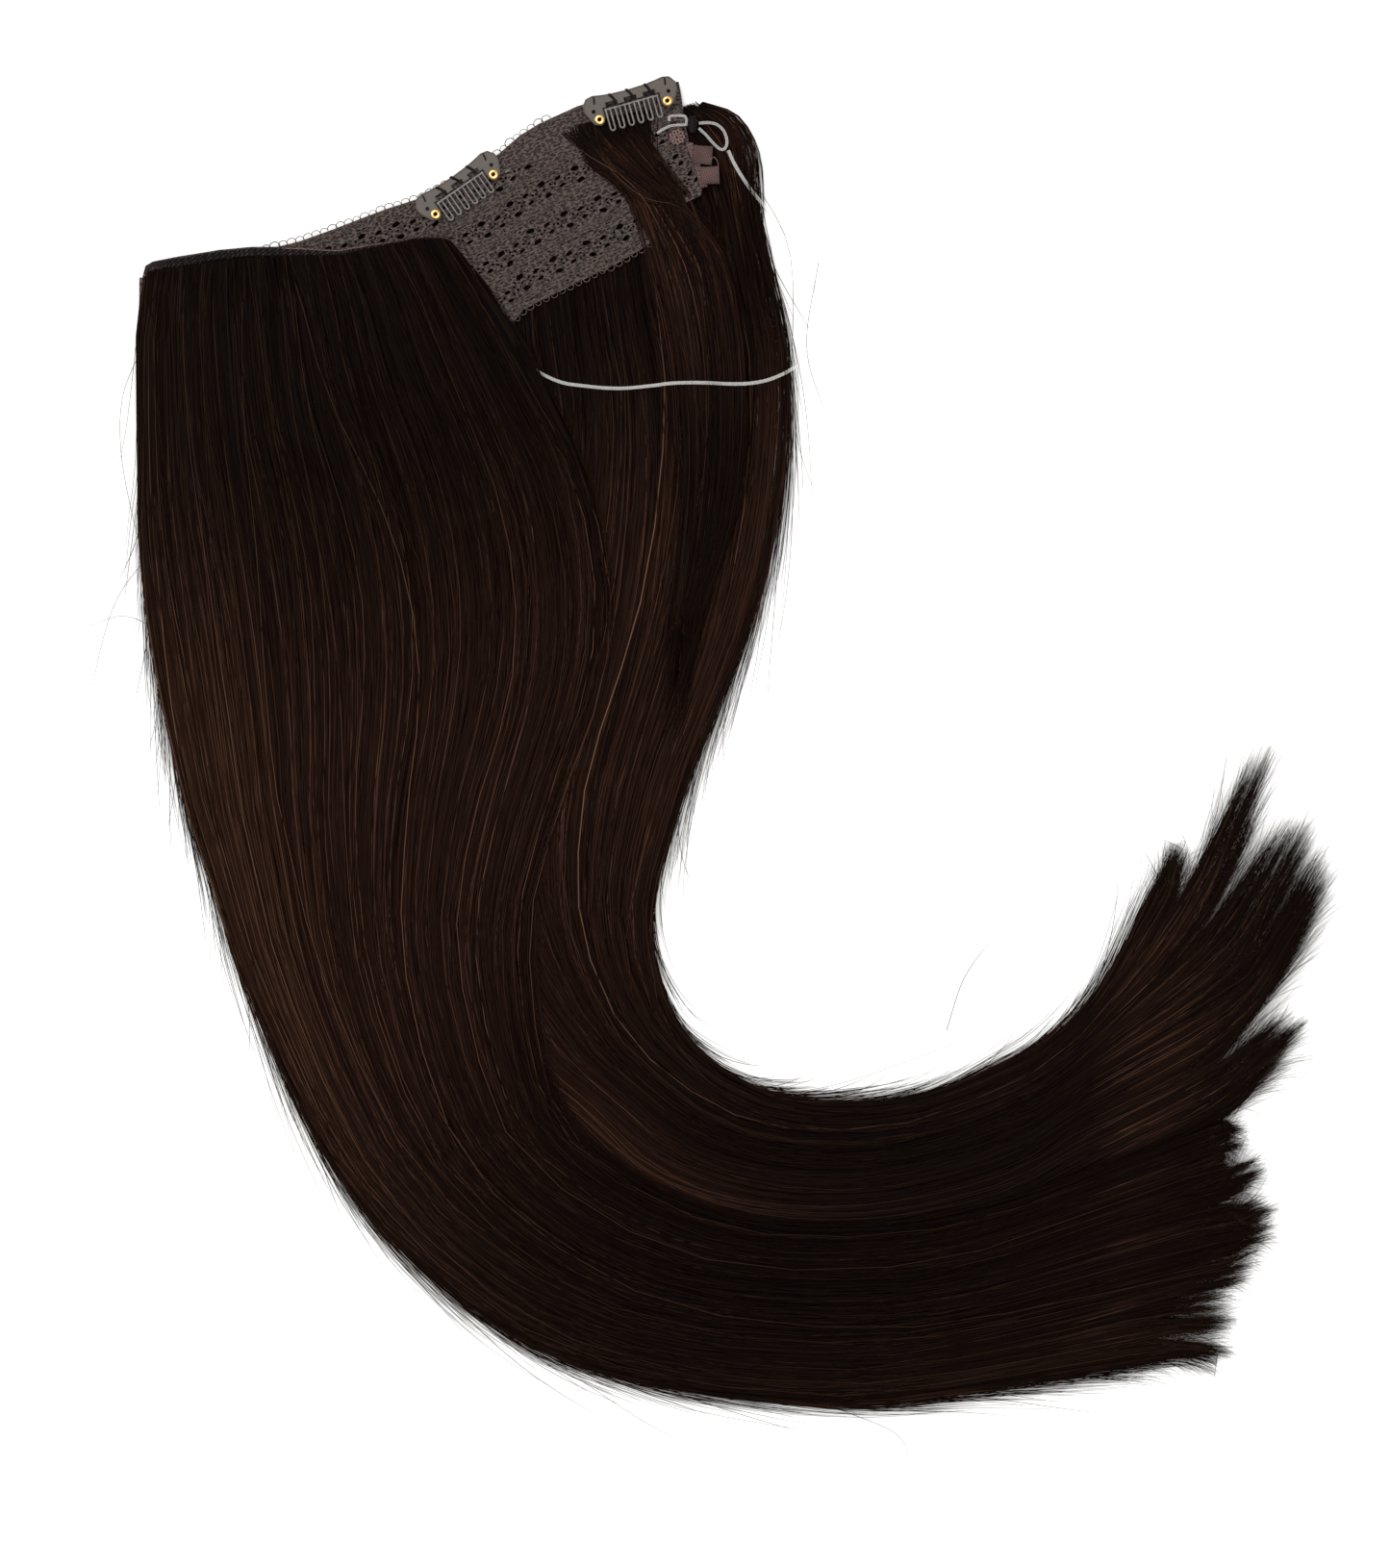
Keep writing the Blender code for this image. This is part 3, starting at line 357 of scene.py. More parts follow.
# one strand's colour from its own tone, with a painted sheen along it: brighter at mid length, darker towards the root
# and the tail, as over the masses
def makeStrandTint():
    tree, into, out = newGroup("strandTint", [
        ("NodeSocketFloat", "Tone", 0.5), ("NodeSocketFloat", "Along", 0.5),
        ("NodeSocketColor", "Dark", (0.0032, 0.0010, 0.0006, 1)),
        ("NodeSocketColor", "Brown", (0.0205, 0.0084, 0.0047, 1)),
        ("NodeSocketColor", "Glint", (0.096, 0.051, 0.031, 1)),
    ], [("NodeSocketColor", "Color"), ("NodeSocketFloat", "Roughness")])
    low = addNode(tree, "ShaderNodeMapRange", inputs={"Value": into.outputs["Tone"], "From Min": 0.15, "From Max": 0.7})
    high = addNode(tree, "ShaderNodeMapRange",
                   inputs={"Value": into.outputs["Tone"], "From Min": 0.62, "From Max": 1.0})
    first = mixColour(tree, low.outputs[0], into.outputs["Dark"], into.outputs["Brown"])
    second = mixColour(tree, high.outputs[0], first, into.outputs["Glint"])
    # painted sheen: a brightness ramp by place along the strand, highest at mid length
    sheenZones = addNode(tree, "ShaderNodeValToRGB", inputs={"Fac": into.outputs["Along"]})
    ramp = sheenZones.color_ramp
    for at, level in ((0.0, 0.25), (0.12, 0.32), (0.26, 0.98), (0.44, 0.95), (0.6, 0.4), (0.74, 0.27), (1.0, 0.5)):
        stop = ramp.elements.new(at) if 0.0 < at < 1.0 else ramp.elements[0 if at == 0.0 else -1]
        stop.color = (level, level, level, 1)
    bright = addNode(tree, "ShaderNodeMath", {"operation": "MULTIPLY"}, {0: sheenZones.outputs[0], 1: 1.25})
    lit = addNode(tree, "ShaderNodeHueSaturation", inputs={"Color": second, "Value": bright.outputs[0]})
    rough = addNode(tree, "ShaderNodeMapRange", inputs={"Value": into.outputs["Tone"], "To Min": 0.42, "To Max": 0.6})
    tree.links.new(lit.outputs[0], out.inputs["Color"])
    tree.links.new(rough.outputs[0], out.inputs["Roughness"])
    return tree


# fine cloth or thread: a crossed weave in the surface's own axes, with uneven tone
def makeWeave():
    tree, into, out = newGroup("threadWeave", [
        ("NodeSocketVector", "Vector", None), ("NodeSocketFloat", "Scale", 1200.0),
        ("NodeSocketColor", "Thread", (0.1, 0.08, 0.075, 1)), ("NodeSocketColor", "Between", (0.03, 0.024, 0.022, 1)),
    ], [("NodeSocketColor", "Color"), ("NodeSocketFloat", "Height")])
    waves = []
    for direction in ("X", "Y"):
        wave = addNode(tree, "ShaderNodeTexWave", {"bands_direction": direction}, {
            "Vector": into.outputs["Vector"], "Scale": into.outputs["Scale"], "Distortion": 1.2, "Detail": 1.0})
        waves.append(wave.outputs[1])
    both = addNode(tree, "ShaderNodeMath", {"operation": "MAXIMUM"}, {0: waves[0], 1: waves[1]})
    uneven = addNode(tree, "ShaderNodeTexNoise",
                     inputs={"Vector": into.outputs["Vector"], "Scale": 160.0, "Detail": 3.0})
    share = addNode(tree, "ShaderNodeMath", {"operation": "MULTIPLY"}, {0: both.outputs[0], 1: uneven.outputs[0]})
    ramp = addNode(tree, "ShaderNodeMapRange", inputs={"Value": share.outputs[0], "From Min": 0.1, "From Max": 0.6})
    tree.links.new(mixColour(tree, ramp.outputs[0], into.outputs["Between"], into.outputs["Thread"]),
                   out.inputs["Color"])
    tree.links.new(share.outputs[0], out.inputs["Height"])
    return tree


# lace ground: hooked thread around small dark gaps, drawn out along the band, in plan millimetres
def makeLaceNet():
    tree, into, out = newGroup("laceNet", [
        ("NodeSocketVector", "Vector", None), ("NodeSocketFloat", "Gap", 0.31),
        ("NodeSocketColor", "Thread", (0.122, 0.088, 0.078, 1)),
        ("NodeSocketColor", "Between", (0.012, 0.0085, 0.0075, 1)),
    ], [("NodeSocketColor", "Color"), ("NodeSocketFloat", "Height")])
    gaps = []
    for stretch, shift in (((0.42, 0.85, 0.0), 0.0), ((0.62, 1.5, 0.0), 7.3)):
        scaled = addNode(tree, "ShaderNodeVectorMath", {"operation": "MULTIPLY_ADD"},
                         {0: into.outputs["Vector"], 1: stretch, 2: (shift, shift, 0.0)})
        cells = addNode(tree, "ShaderNodeTexVoronoi", {"voronoi_dimensions": "2D"},
                        {"Vector": scaled.outputs[0], "Scale": 1.0, "Randomness": 0.85})
        gap = addNode(tree, "ShaderNodeMath", {"operation": "SUBTRACT"},
                      {0: cells.outputs["Distance"], 1: into.outputs["Gap"]})
        mask = addNode(tree, "ShaderNodeMapRange", inputs={"Value": gap.outputs[0], "From Min": -0.1, "From Max": 0.08})
        gaps.append(mask.outputs[0])
    both = addNode(tree, "ShaderNodeMath", {"operation": "MULTIPLY"}, {0: gaps[0], 1: gaps[1]})
    hooked = addNode(tree, "ShaderNodeTexNoise",
                     inputs={"Vector": into.outputs["Vector"], "Scale": 2.6, "Detail": 4.0, "Roughness": 0.75})
    tone = addNode(tree, "ShaderNodeMapRange",
                   inputs={"Value": hooked.outputs[0], "From Min": 0.32, "From Max": 0.68, "To Min": 0.35,
                           "To Max": 1.0})
    share = addNode(tree, "ShaderNodeMath", {"operation": "MULTIPLY"}, {0: both.outputs[0], 1: tone.outputs[0]})
    tree.links.new(mixColour(tree, share.outputs[0], into.outputs["Between"], into.outputs["Thread"]),
                   out.inputs["Color"])
    tree.links.new(share.outputs[0], out.inputs["Height"])
    return tree


# painted or plain metal: a mottled tone and small changes of gloss; the clear cords use it too, where its pale tones
# are a painted highlight
def makeWearAndSheen():
    tree, into, out = newGroup("wearAndSheenMottle", [
        ("NodeSocketVector", "Vector", None), ("NodeSocketColor", "Base", (0.1, 0.09, 0.08, 1)),
        ("NodeSocketColor", "WearAndSheen", (0.16, 0.14, 0.13, 1)),
        ("NodeSocketFloat", "Gloss", 0.35),
    ], [("NodeSocketColor", "Color"), ("NodeSocketFloat", "Roughness"), ("NodeSocketFloat", "Height")])
    mottle = addNode(tree, "ShaderNodeTexNoise",
                     inputs={"Vector": into.outputs["Vector"], "Scale": 700.0, "Detail": 4.0})
    ramp = addNode(tree, "ShaderNodeMapRange", inputs={"Value": mottle.outputs[0], "From Min": 0.4, "From Max": 0.7})
    rough = addNode(tree, "ShaderNodeMath", {"operation": "MULTIPLY_ADD"},
                    {0: ramp.outputs[0], 1: 0.18, 2: into.outputs["Gloss"]})
    tree.links.new(mixColour(tree, ramp.outputs[0], into.outputs["Base"], into.outputs["WearAndSheen"]), out.inputs["Color"])
    tree.links.new(rough.outputs[0], out.inputs["Roughness"])
    tree.links.new(mottle.outputs[0], out.inputs["Height"])
    return tree


streaks, strandTint, weave, laceNet, wearAndSheen = makeStreaks(), makeStrandTint(), makeWeave(), makeLaceNet(), makeWearAndSheen()


def addGroup(material, group, inputs):
    return addNode(material.node_tree, "ShaderNodeGroup", {"node_tree": group}, inputs)


def addBump(material, shader, height, distance, strength=1.0):
    relief = {"Distance": distance, "Strength": strength, "Height": height}
    bump = addNode(material.node_tree, "ShaderNodeBump", inputs=relief)
    material.node_tree.links.new(bump.outputs[0], shader.inputs["Normal"])


def massMaterial(name, fineness):
    made, shader = newMaterial(name, {"Specular IOR Level": 0.02})
    tree = made.node_tree
    uv = addNode(tree, "ShaderNodeUVMap", {"uv_map": "UVMap"})
    node = addGroup(made, streaks, {"Vector": uv.outputs[0], "Fineness": fineness})
    tree.links.new(node.outputs["Color"], shader.inputs["Base Color"])
    tree.links.new(node.outputs["Roughness"], shader.inputs["Roughness"])
    addBump(made, shader, node.outputs["Height"], 0.0004, 0.8)
    return made


def strandMaterial(name):
    made, shader = newMaterial(name, {"Specular IOR Level": 0.022})
    tree = made.node_tree
    tone = addNode(tree, "ShaderNodeAttribute", {"attribute_name": "tone"})
    far = addNode(tree, "ShaderNodeAttribute", {"attribute_name": "far"})
    node = addGroup(made, strandTint, {"Tone": tone.outputs["Fac"], "Along": far.outputs["Fac"]})
    tree.links.new(node.outputs["Color"], shader.inputs["Base Color"])
    tree.links.new(node.outputs["Roughness"], shader.inputs["Roughness"])
    return made


def clothMaterial(name, thread, between, scale, depth, roughness=0.85):
    made, shader = newMaterial(name, {"Roughness": roughness, "Specular IOR Level": 0.12})
    tree = made.node_tree
    where = addNode(tree, "ShaderNodeTexCoord")
    turned = addNode(tree, "ShaderNodeMapping",
                     inputs={"Vector": where.outputs["Object"], "Rotation": (0, 0, -slopeAngle)})
    node = addGroup(made, weave, {"Vector": turned.outputs[0], "Scale": scale, "Thread": (*thread, 1),
                                  "Between": (*between, 1)})
    tree.links.new(node.outputs["Color"], shader.inputs["Base Color"])
    addBump(made, shader, node.outputs["Height"], depth)
    return made


def laceMaterial(name):
    made, shader = newMaterial(name, {"Roughness": 0.88, "Specular IOR Level": 0.25})
    tree = made.node_tree
    where = addNode(tree, "ShaderNodeTexCoord")
    turned = addNode(tree, "ShaderNodeMapping",
                     inputs={"Vector": where.outputs["Object"], "Rotation": (0, 0, -slopeAngle),
                             "Scale": (1000, 1000, 1000)})
    node = addGroup(made, laceNet, {"Vector": turned.outputs[0]})
    tree.links.new(node.outputs["Color"], shader.inputs["Base Color"])
    addBump(made, shader, node.outputs["Height"], 0.0003)
    return made


def metalMaterial(name, base, wornTone, gloss, metallic, coat=0.0):
    made, shader = newMaterial(name, {"Metallic": metallic, "Coat Weight": coat, "Coat Roughness": 0.12})
    tree = made.node_tree
    where = addNode(tree, "ShaderNodeTexCoord")
    node = addGroup(made, wearAndSheen, {"Vector": where.outputs["Object"], "Base": (*base, 1), "WearAndSheen": (*wornTone, 1),
                                 "Gloss": gloss})
    tree.links.new(node.outputs["Color"], shader.inputs["Base Color"])
    tree.links.new(node.outputs["Roughness"], shader.inputs["Roughness"])
    addBump(made, shader, node.outputs["Height"], 0.00003, 0.5)
    return made


# clear cord: a pale colour, see-through in the middle and more opaque towards its edges, a painted highlight along the
# cord's edges
def clearMaterial(name, middle, edge):
    made, shader = newMaterial(name, {"IOR": 1.5, "Specular IOR Level": 0.6})
    tree = made.node_tree
    where = addNode(tree, "ShaderNodeTexCoord")
    node = addGroup(made, wearAndSheen, {"Vector": where.outputs["Object"], "Base": (0.8, 0.78, 0.75, 1),
                                 "WearAndSheen": (0.9, 0.88, 0.86, 1), "Gloss": 0.1})
    # painted edge highlight: the pale colour grows opaque where the surface turns away from view
    facing = addNode(tree, "ShaderNodeLayerWeight", inputs={"Blend": 0.45})
    solid = addNode(tree, "ShaderNodeMapRange",
                    inputs={"Value": facing.outputs["Facing"], "To Min": middle, "To Max": edge})
    tree.links.new(node.outputs["Color"], shader.inputs["Base Color"])
    tree.links.new(node.outputs["Roughness"], shader.inputs["Roughness"])
    tree.links.new(solid.outputs[0], shader.inputs["Alpha"])
    return made


# mesh and node tools

def newObject(name, mesh, material):
    made = bpy.data.objects.new(name, mesh)
    stageScene.collection.objects.link(made)
    mesh.materials.clear()
    mesh.materials.append(material)
    return made


# a Geometry Nodes tree with a Geometry input and output and the named numbers after it
def newTree(name, inputs):
    tree = bpy.data.node_groups.new(name, "GeometryNodeTree")
    tree.interface.new_socket(name="Geometry", in_out="INPUT", socket_type="NodeSocketGeometry")
    for kind, label, value in inputs:
        socket = tree.interface.new_socket(name=label, in_out="INPUT", socket_type=kind)
        if value is not None:
            socket.default_value = value
    tree.interface.new_socket(name="Geometry", in_out="OUTPUT", socket_type="NodeSocketGeometry")
    return tree, tree.nodes.new("NodeGroupInput"), tree.nodes.new("NodeGroupOutput")


# runs a Geometry Nodes tree on a guide object and returns the plain mesh that it makes
def grownMesh(name, guide, tree, values):
    modifier = guide.modifiers.new("grow", "NODES")
    modifier.node_group = tree
    for item in tree.interface.items_tree:
        if item.item_type == "SOCKET" and item.in_out == "INPUT" and item.name in values:
            modifier[item.identifier] = values[item.name]
    depsgraph = bpy.context.evaluated_depsgraph_get()
    mesh = bpy.data.meshes.new_from_object(guide.evaluated_get(depsgraph), preserve_all_data_layers=True,
                                           depsgraph=depsgraph)
    guide.modifiers.remove(modifier)
    bpy.data.objects.remove(guide, do_unlink=True)
    mesh.name = name
    return mesh


# guide lines become flat tapering ribbons that carry each strand's tone and place along
def makeStrandTree():
    tree, into, out = newTree("strandRibbons",
                              [("NodeSocketFloat", "Thinning", 0.75), ("NodeSocketMaterial", "Material", None)])
    lines = addNode(tree, "GeometryNodeMeshToCurve", inputs={"Mesh": into.outputs[0]})
    upright = addNode(tree, "GeometryNodeSetCurveNormal", {"mode": "Z_UP"}, {"Curve": lines.outputs[0]})
    tilt = addNode(tree, "GeometryNodeInputNamedAttribute", {"data_type": "FLOAT"}, {"Name": "roll"})
    rolled = addNode(tree, "GeometryNodeSetCurveTilt", inputs={"Curve": upright.outputs[0], "Tilt": tilt.outputs[0]})
    where = addNode(tree, "GeometryNodeSplineParameter")
    stored = addNode(tree, "GeometryNodeStoreNamedAttribute", {"data_type": "FLOAT", "domain": "POINT"},
                     {"Geometry": rolled.outputs[0], "Name": "far", "Value": where.outputs["Factor"]})
    wide = addNode(tree, "GeometryNodeInputNamedAttribute", {"data_type": "FLOAT"}, {"Name": "wide"})
    power = addNode(tree, "ShaderNodeMath", {"operation": "POWER"}, {0: where.outputs["Factor"], 1: 5.0})
    thin = addNode(tree, "ShaderNodeMath", {"operation": "MULTIPLY"},
                   {0: power.outputs[0], 1: into.outputs["Thinning"]})
    left = addNode(tree, "ShaderNodeMath", {"operation": "SUBTRACT"}, {0: 1.0, 1: thin.outputs[0]})
    scale = addNode(tree, "ShaderNodeMath", {"operation": "MULTIPLY"}, {0: wide.outputs[0], 1: left.outputs[0]})
    profile = addNode(tree, "GeometryNodeCurvePrimitiveLine", inputs={"Start": (-0.5, 0, 0), "End": (0.5, 0, 0)})
    ribbon = addNode(tree, "GeometryNodeCurveToMesh",
                     inputs={"Curve": stored.outputs[0], "Profile Curve": profile.outputs[0],
                             "Scale": scale.outputs[0]})
    real = addNode(tree, "GeometryNodeRealizeInstances", inputs={0: ribbon.outputs[0]})
    finish = addNode(tree, "GeometryNodeSetMaterial",
                     inputs={"Geometry": real.outputs[0], "Material": into.outputs["Material"]})
    tree.links.new(finish.outputs[0], out.inputs[0])
    return tree


# guide lines become round threads
def makeTubeTree():
    tree, into, out = newTree("roundThreads",
                              [("NodeSocketFloat", "Radius", 0.0002), ("NodeSocketInt", "Sides", 6),
                               ("NodeSocketMaterial", "Material", None)])
    lines = addNode(tree, "GeometryNodeMeshToCurve", inputs={"Mesh": into.outputs[0]})
    profile = addNode(tree, "GeometryNodeCurvePrimitiveCircle", {"mode": "RADIUS"},
                      {"Resolution": into.outputs["Sides"], "Radius": 1.0})
    tube = addNode(tree, "GeometryNodeCurveToMesh",
                   inputs={"Curve": lines.outputs[0], "Profile Curve": profile.outputs[0],
                           "Scale": into.outputs["Radius"], "Fill Caps": True})
    real = addNode(tree, "GeometryNodeRealizeInstances", inputs={0: tube.outputs[0]})
    finish = addNode(tree, "GeometryNodeSetMaterial",
                     inputs={"Geometry": real.outputs[0], "Material": into.outputs["Material"]})
    tree.links.new(finish.outputs[0], out.inputs[0])
    return tree


strandTree, tubeTree = makeStrandTree(), makeTubeTree()


# edges through each line's points (metres), with one number a line in each attribute
def guideLines(lines, attributes=None, closed=False):
    counts = [len(line) for line in lines]
    points = np.concatenate([np.asarray(line, float) for line in lines])
    starts = np.concatenate([[0], np.cumsum(counts)[:-1]])
    edges = [np.stack([np.arange(s, s + n - 1), np.arange(s + 1, s + n)], axis=1) for s, n in zip(starts, counts)]
    if closed:
        edges += [np.array([[s + n - 1, s]]) for s, n in zip(starts, counts)]
    mesh = bpy.data.meshes.new("guides")
    mesh.from_pydata(points.tolist(), np.concatenate(edges).tolist(), [])
    for key, values in (attributes or {}).items():
        made = mesh.attributes.new(key, "FLOAT", "POINT")
        made.data.foreach_set("value", np.repeat(np.asarray(values, np.float32), counts))
    guide = bpy.data.objects.new("guides", mesh)
    stageScene.collection.objects.link(guide)
    return guide


def threads(name, lines, radius, material, sides=6, closed=False):
    mesh = grownMesh(name, guideLines(lines, closed=closed), tubeTree,
                     {"Radius": radius, "Sides": sides, "Material": material})
    made = newObject(name, mesh, material)
    faceOut(mesh)
    mesh.shade_smooth()
    return made


def faceOut(mesh):
    bm = bmesh.new()
    bm.from_mesh(mesh)
    bmesh.ops.recalc_face_normals(bm, faces=bm.faces)
    bm.to_mesh(mesh)
    bm.free()


def finishPiece(piece, body, slot, *nodes):
    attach(piece, body)
    if nodes:
        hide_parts(*nodes)


# camera first, looking straight down

cameraHigh = 1.6
viewWidth = 0.47685
camera = bpy.data.objects.new("camera", bpy.data.cameras.new("camera"))
camera.data.sensor_fit = "HORIZONTAL"
camera.data.lens = 36.0 * (cameraHigh - 0.004) / viewWidth
camera.data.clip_end = 20.0
camera.location = place(189.585, -173.25, cameraHigh / mm)
stageScene.collection.objects.link(camera)
stageScene.camera = camera

# the halo wire: one clear cord through the same route as its solid

wireRoute = [
    (201.0, 44.0, 4.6), (203.4, 38.9, 4.1), (208.6, 31.0, 2.9), (216.0, 22.2, 1.4), (223.5, 12.5, 0.8),
    (229.6, 0.5, 0.7),
    (232.2, -11.0, 0.7), (230.4, -21.6, 0.9), (226.0, -28.4, 2.4), (221.5, -31.7, 4.6), (217.5, -33.8, 6.6),
    (213.5, -35.3, 8.4), (208.5, -36.3, 9.9), (202.0, -36.6, 10.7), (192.5, -36.2, 10.8), (182.5, -36.2, 9.6),
    (174.0, -37.0, 7.4), (165.5, -37.7, 6.5), (158.5, -37.6, 6.6), (150.5, -36.8, 6.7), (145.0, -36.0, 6.6),
    (140.0, -34.2, 6.4), (134.0, -31.0, 6.6), (128.5, -27.0, 6.9), (122.9, -22.4, 7.1),
]
wirePoints = placeAll(smooth(wireRoute, 160))
wireMaterial = clearMaterial("halo_wire_clear", 0.2, 0.5)
haloWire = threads("halo_wire_clear", [wirePoints], 0.0006, wireMaterial, 12)
finishPiece(haloWire, "root", "halo_wire", "halo_wire")

# hair masses: a fine closed surface over each solid's own form, with the flow in its UV

# a lofted mass over the solid: its top follows the solid with fine clumps, and each lock thins, short of its strands' tips
def massMesh(name, kind, node, settings):
    rng = np.random.default_rng(settings["seed"])
    sides = lockSides[kind][:, 0].copy()
    sides[[0, -1]] += settings["inset"]  # the loose strands make the outer edge
    phases = rng.uniform(0, 6, 4)
    bm = bmesh.new()
    uvLayer = bm.loops.layers.uv.new("UVMap")

    def face(verts, uvs):
        for loop, uv in zip(bm.faces.new(verts).loops, uvs):
            loop[uvLayer].uv = uv

    for low, high in zip(sides, sides[1:]):
        columns = max(6, int(round((high - low) * settings["columns"])))
        shares = np.linspace(low, high, columns + 1)
        rows = hairRows(kind, shares)
        width = rows[-3] - rows[-3].mean(axis=0)
        for back, squeeze in ((2, 0.3), (1, 0.05)):
            rows[-back] = rows[-back].mean(axis=0) + width * squeeze
        at = np.linspace(0, len(rows) - 1 - settings["tipShort"], settings["rows"])
        plan = catmull(rows, at)
        under = filled(underOf(node, plan).T, 0.0).T
        top = filled(topOf((node,), plan).T, 1.0).T
        clump = sum(a * np.sin(shares[None, :] * f + at[:, None] * g + p) for a, f, g, p in
                    zip((0.1, 0.08, 0.06, 0.05), (90, 170, 310, 520), (0.5, -0.7, 0.9, -0.6), phases))
        thin = np.interp(at, (len(rows) - 4.5, len(rows) - 1 - settings["tipShort"]), (1.0, 0.4))[:, None]
        top = under + np.maximum(0.15, top - under - settings["sink"] + clump) * thin
        grid = [[bm.verts.new(place(*plan[r, c], top[r, c])) for c in range(columns + 1)] for r in range(len(at))]
        base = [[bm.verts.new(place(*plan[r, c], under[r, c] + 0.02)) for c in (0, columns)] for r in range(len(at))]
        far = at / (len(rows) - 1)
        for r in range(len(at) - 1):
            f0, f1 = far[r], far[r + 1]
            for c in range(columns):
                s0, s1 = shares[c], shares[c + 1]
                face((grid[r][c], grid[r + 1][c], grid[r + 1][c + 1], grid[r][c + 1]),
                     ((s0, f0), (s0, f1), (s1, f1), (s1, f0)))
            face((base[r][0], base[r + 1][0], grid[r + 1][0], grid[r][0]), ((low, f0), (low, f1), (low, f1), (low, f0)))
            face((grid[r][-1], grid[r + 1][-1], base[r + 1][1], base[r][1]),
                 ((high, f0), (high, f1), (high, f1), (high, f0)))
            face((base[r][1], base[r + 1][1], base[r + 1][0], base[r][0]),
                 ((high, f0), (high, f1), (low, f1), (low, f0)))
        for r in (0, -1):
            ring = [base[r][0]] + grid[r] + [base[r][1]]
            face(ring if r == 0 else ring[::-1], [((low + high) / 2, far[r])] * len(ring))
    mesh = bpy.data.meshes.new(name)
    bmesh.ops.recalc_face_normals(bm, faces=bm.faces)
    bm.to_mesh(mesh)
    bm.free()
    mesh.shade_smooth()
    return mesh


massOf = {
    "wing": dict(name="wing_mass", node="hair_wing", seed=11, columns=150, rows=96, sink=0.9, tipShort=2.7,
                 fineness=500.0, inset=(0.01, 0.0)),
    "back": dict(name="back_mass", node="hair_back", seed=12, columns=130, rows=96, sink=0.8, tipShort=2.5,
                 fineness=440.0, inset=(0.0, -0.014)),
    "end": dict(name="end_lock_mass", node="hair_end_lock", seed=13, columns=26, rows=60, sink=0.9, tipShort=3.2,
                fineness=80.0, inset=(0.03, -0.03)),
}
for kind, settings in massOf.items():
    mesh = massMesh(settings["name"], kind, settings["node"], settings)
    piece = newObject(settings["name"], mesh, massMaterial(settings["name"], settings["fineness"]))
    finishPiece(piece, "root", settings["node"], settings["node"])
    print("mass", settings["name"], len(mesh.polygons))

# hair strands

strandMaterials = {"body": strandMaterial("hair_strands"), "fly": strandMaterial("hair_flyaways")}
strandThinning = 0.75  # the share of its width that a strand loses by its tip
strayReach = (17, 19)  # how far single hairs may go past the CAD's plan box, in millimetres


def ribbonPiece(name, lines, tone, wide, roll, slot, material="body"):
    guide = guideLines(lines, {"tone": tone, "wide": wide, "roll": roll})
    mesh = grownMesh(name, guide, strandTree, {"Thinning": strandThinning, "Material": strandMaterials[material]})
    if np.mean([p.normal.z for p in mesh.polygons[:2000]]) < 0:
        mesh.flip_normals()
    mesh.shade_smooth()
    piece = newObject(name, mesh, strandMaterials[material])
    finishPiece(piece, "root", slot)
    print("strands", name, len(mesh.polygons) * 2)


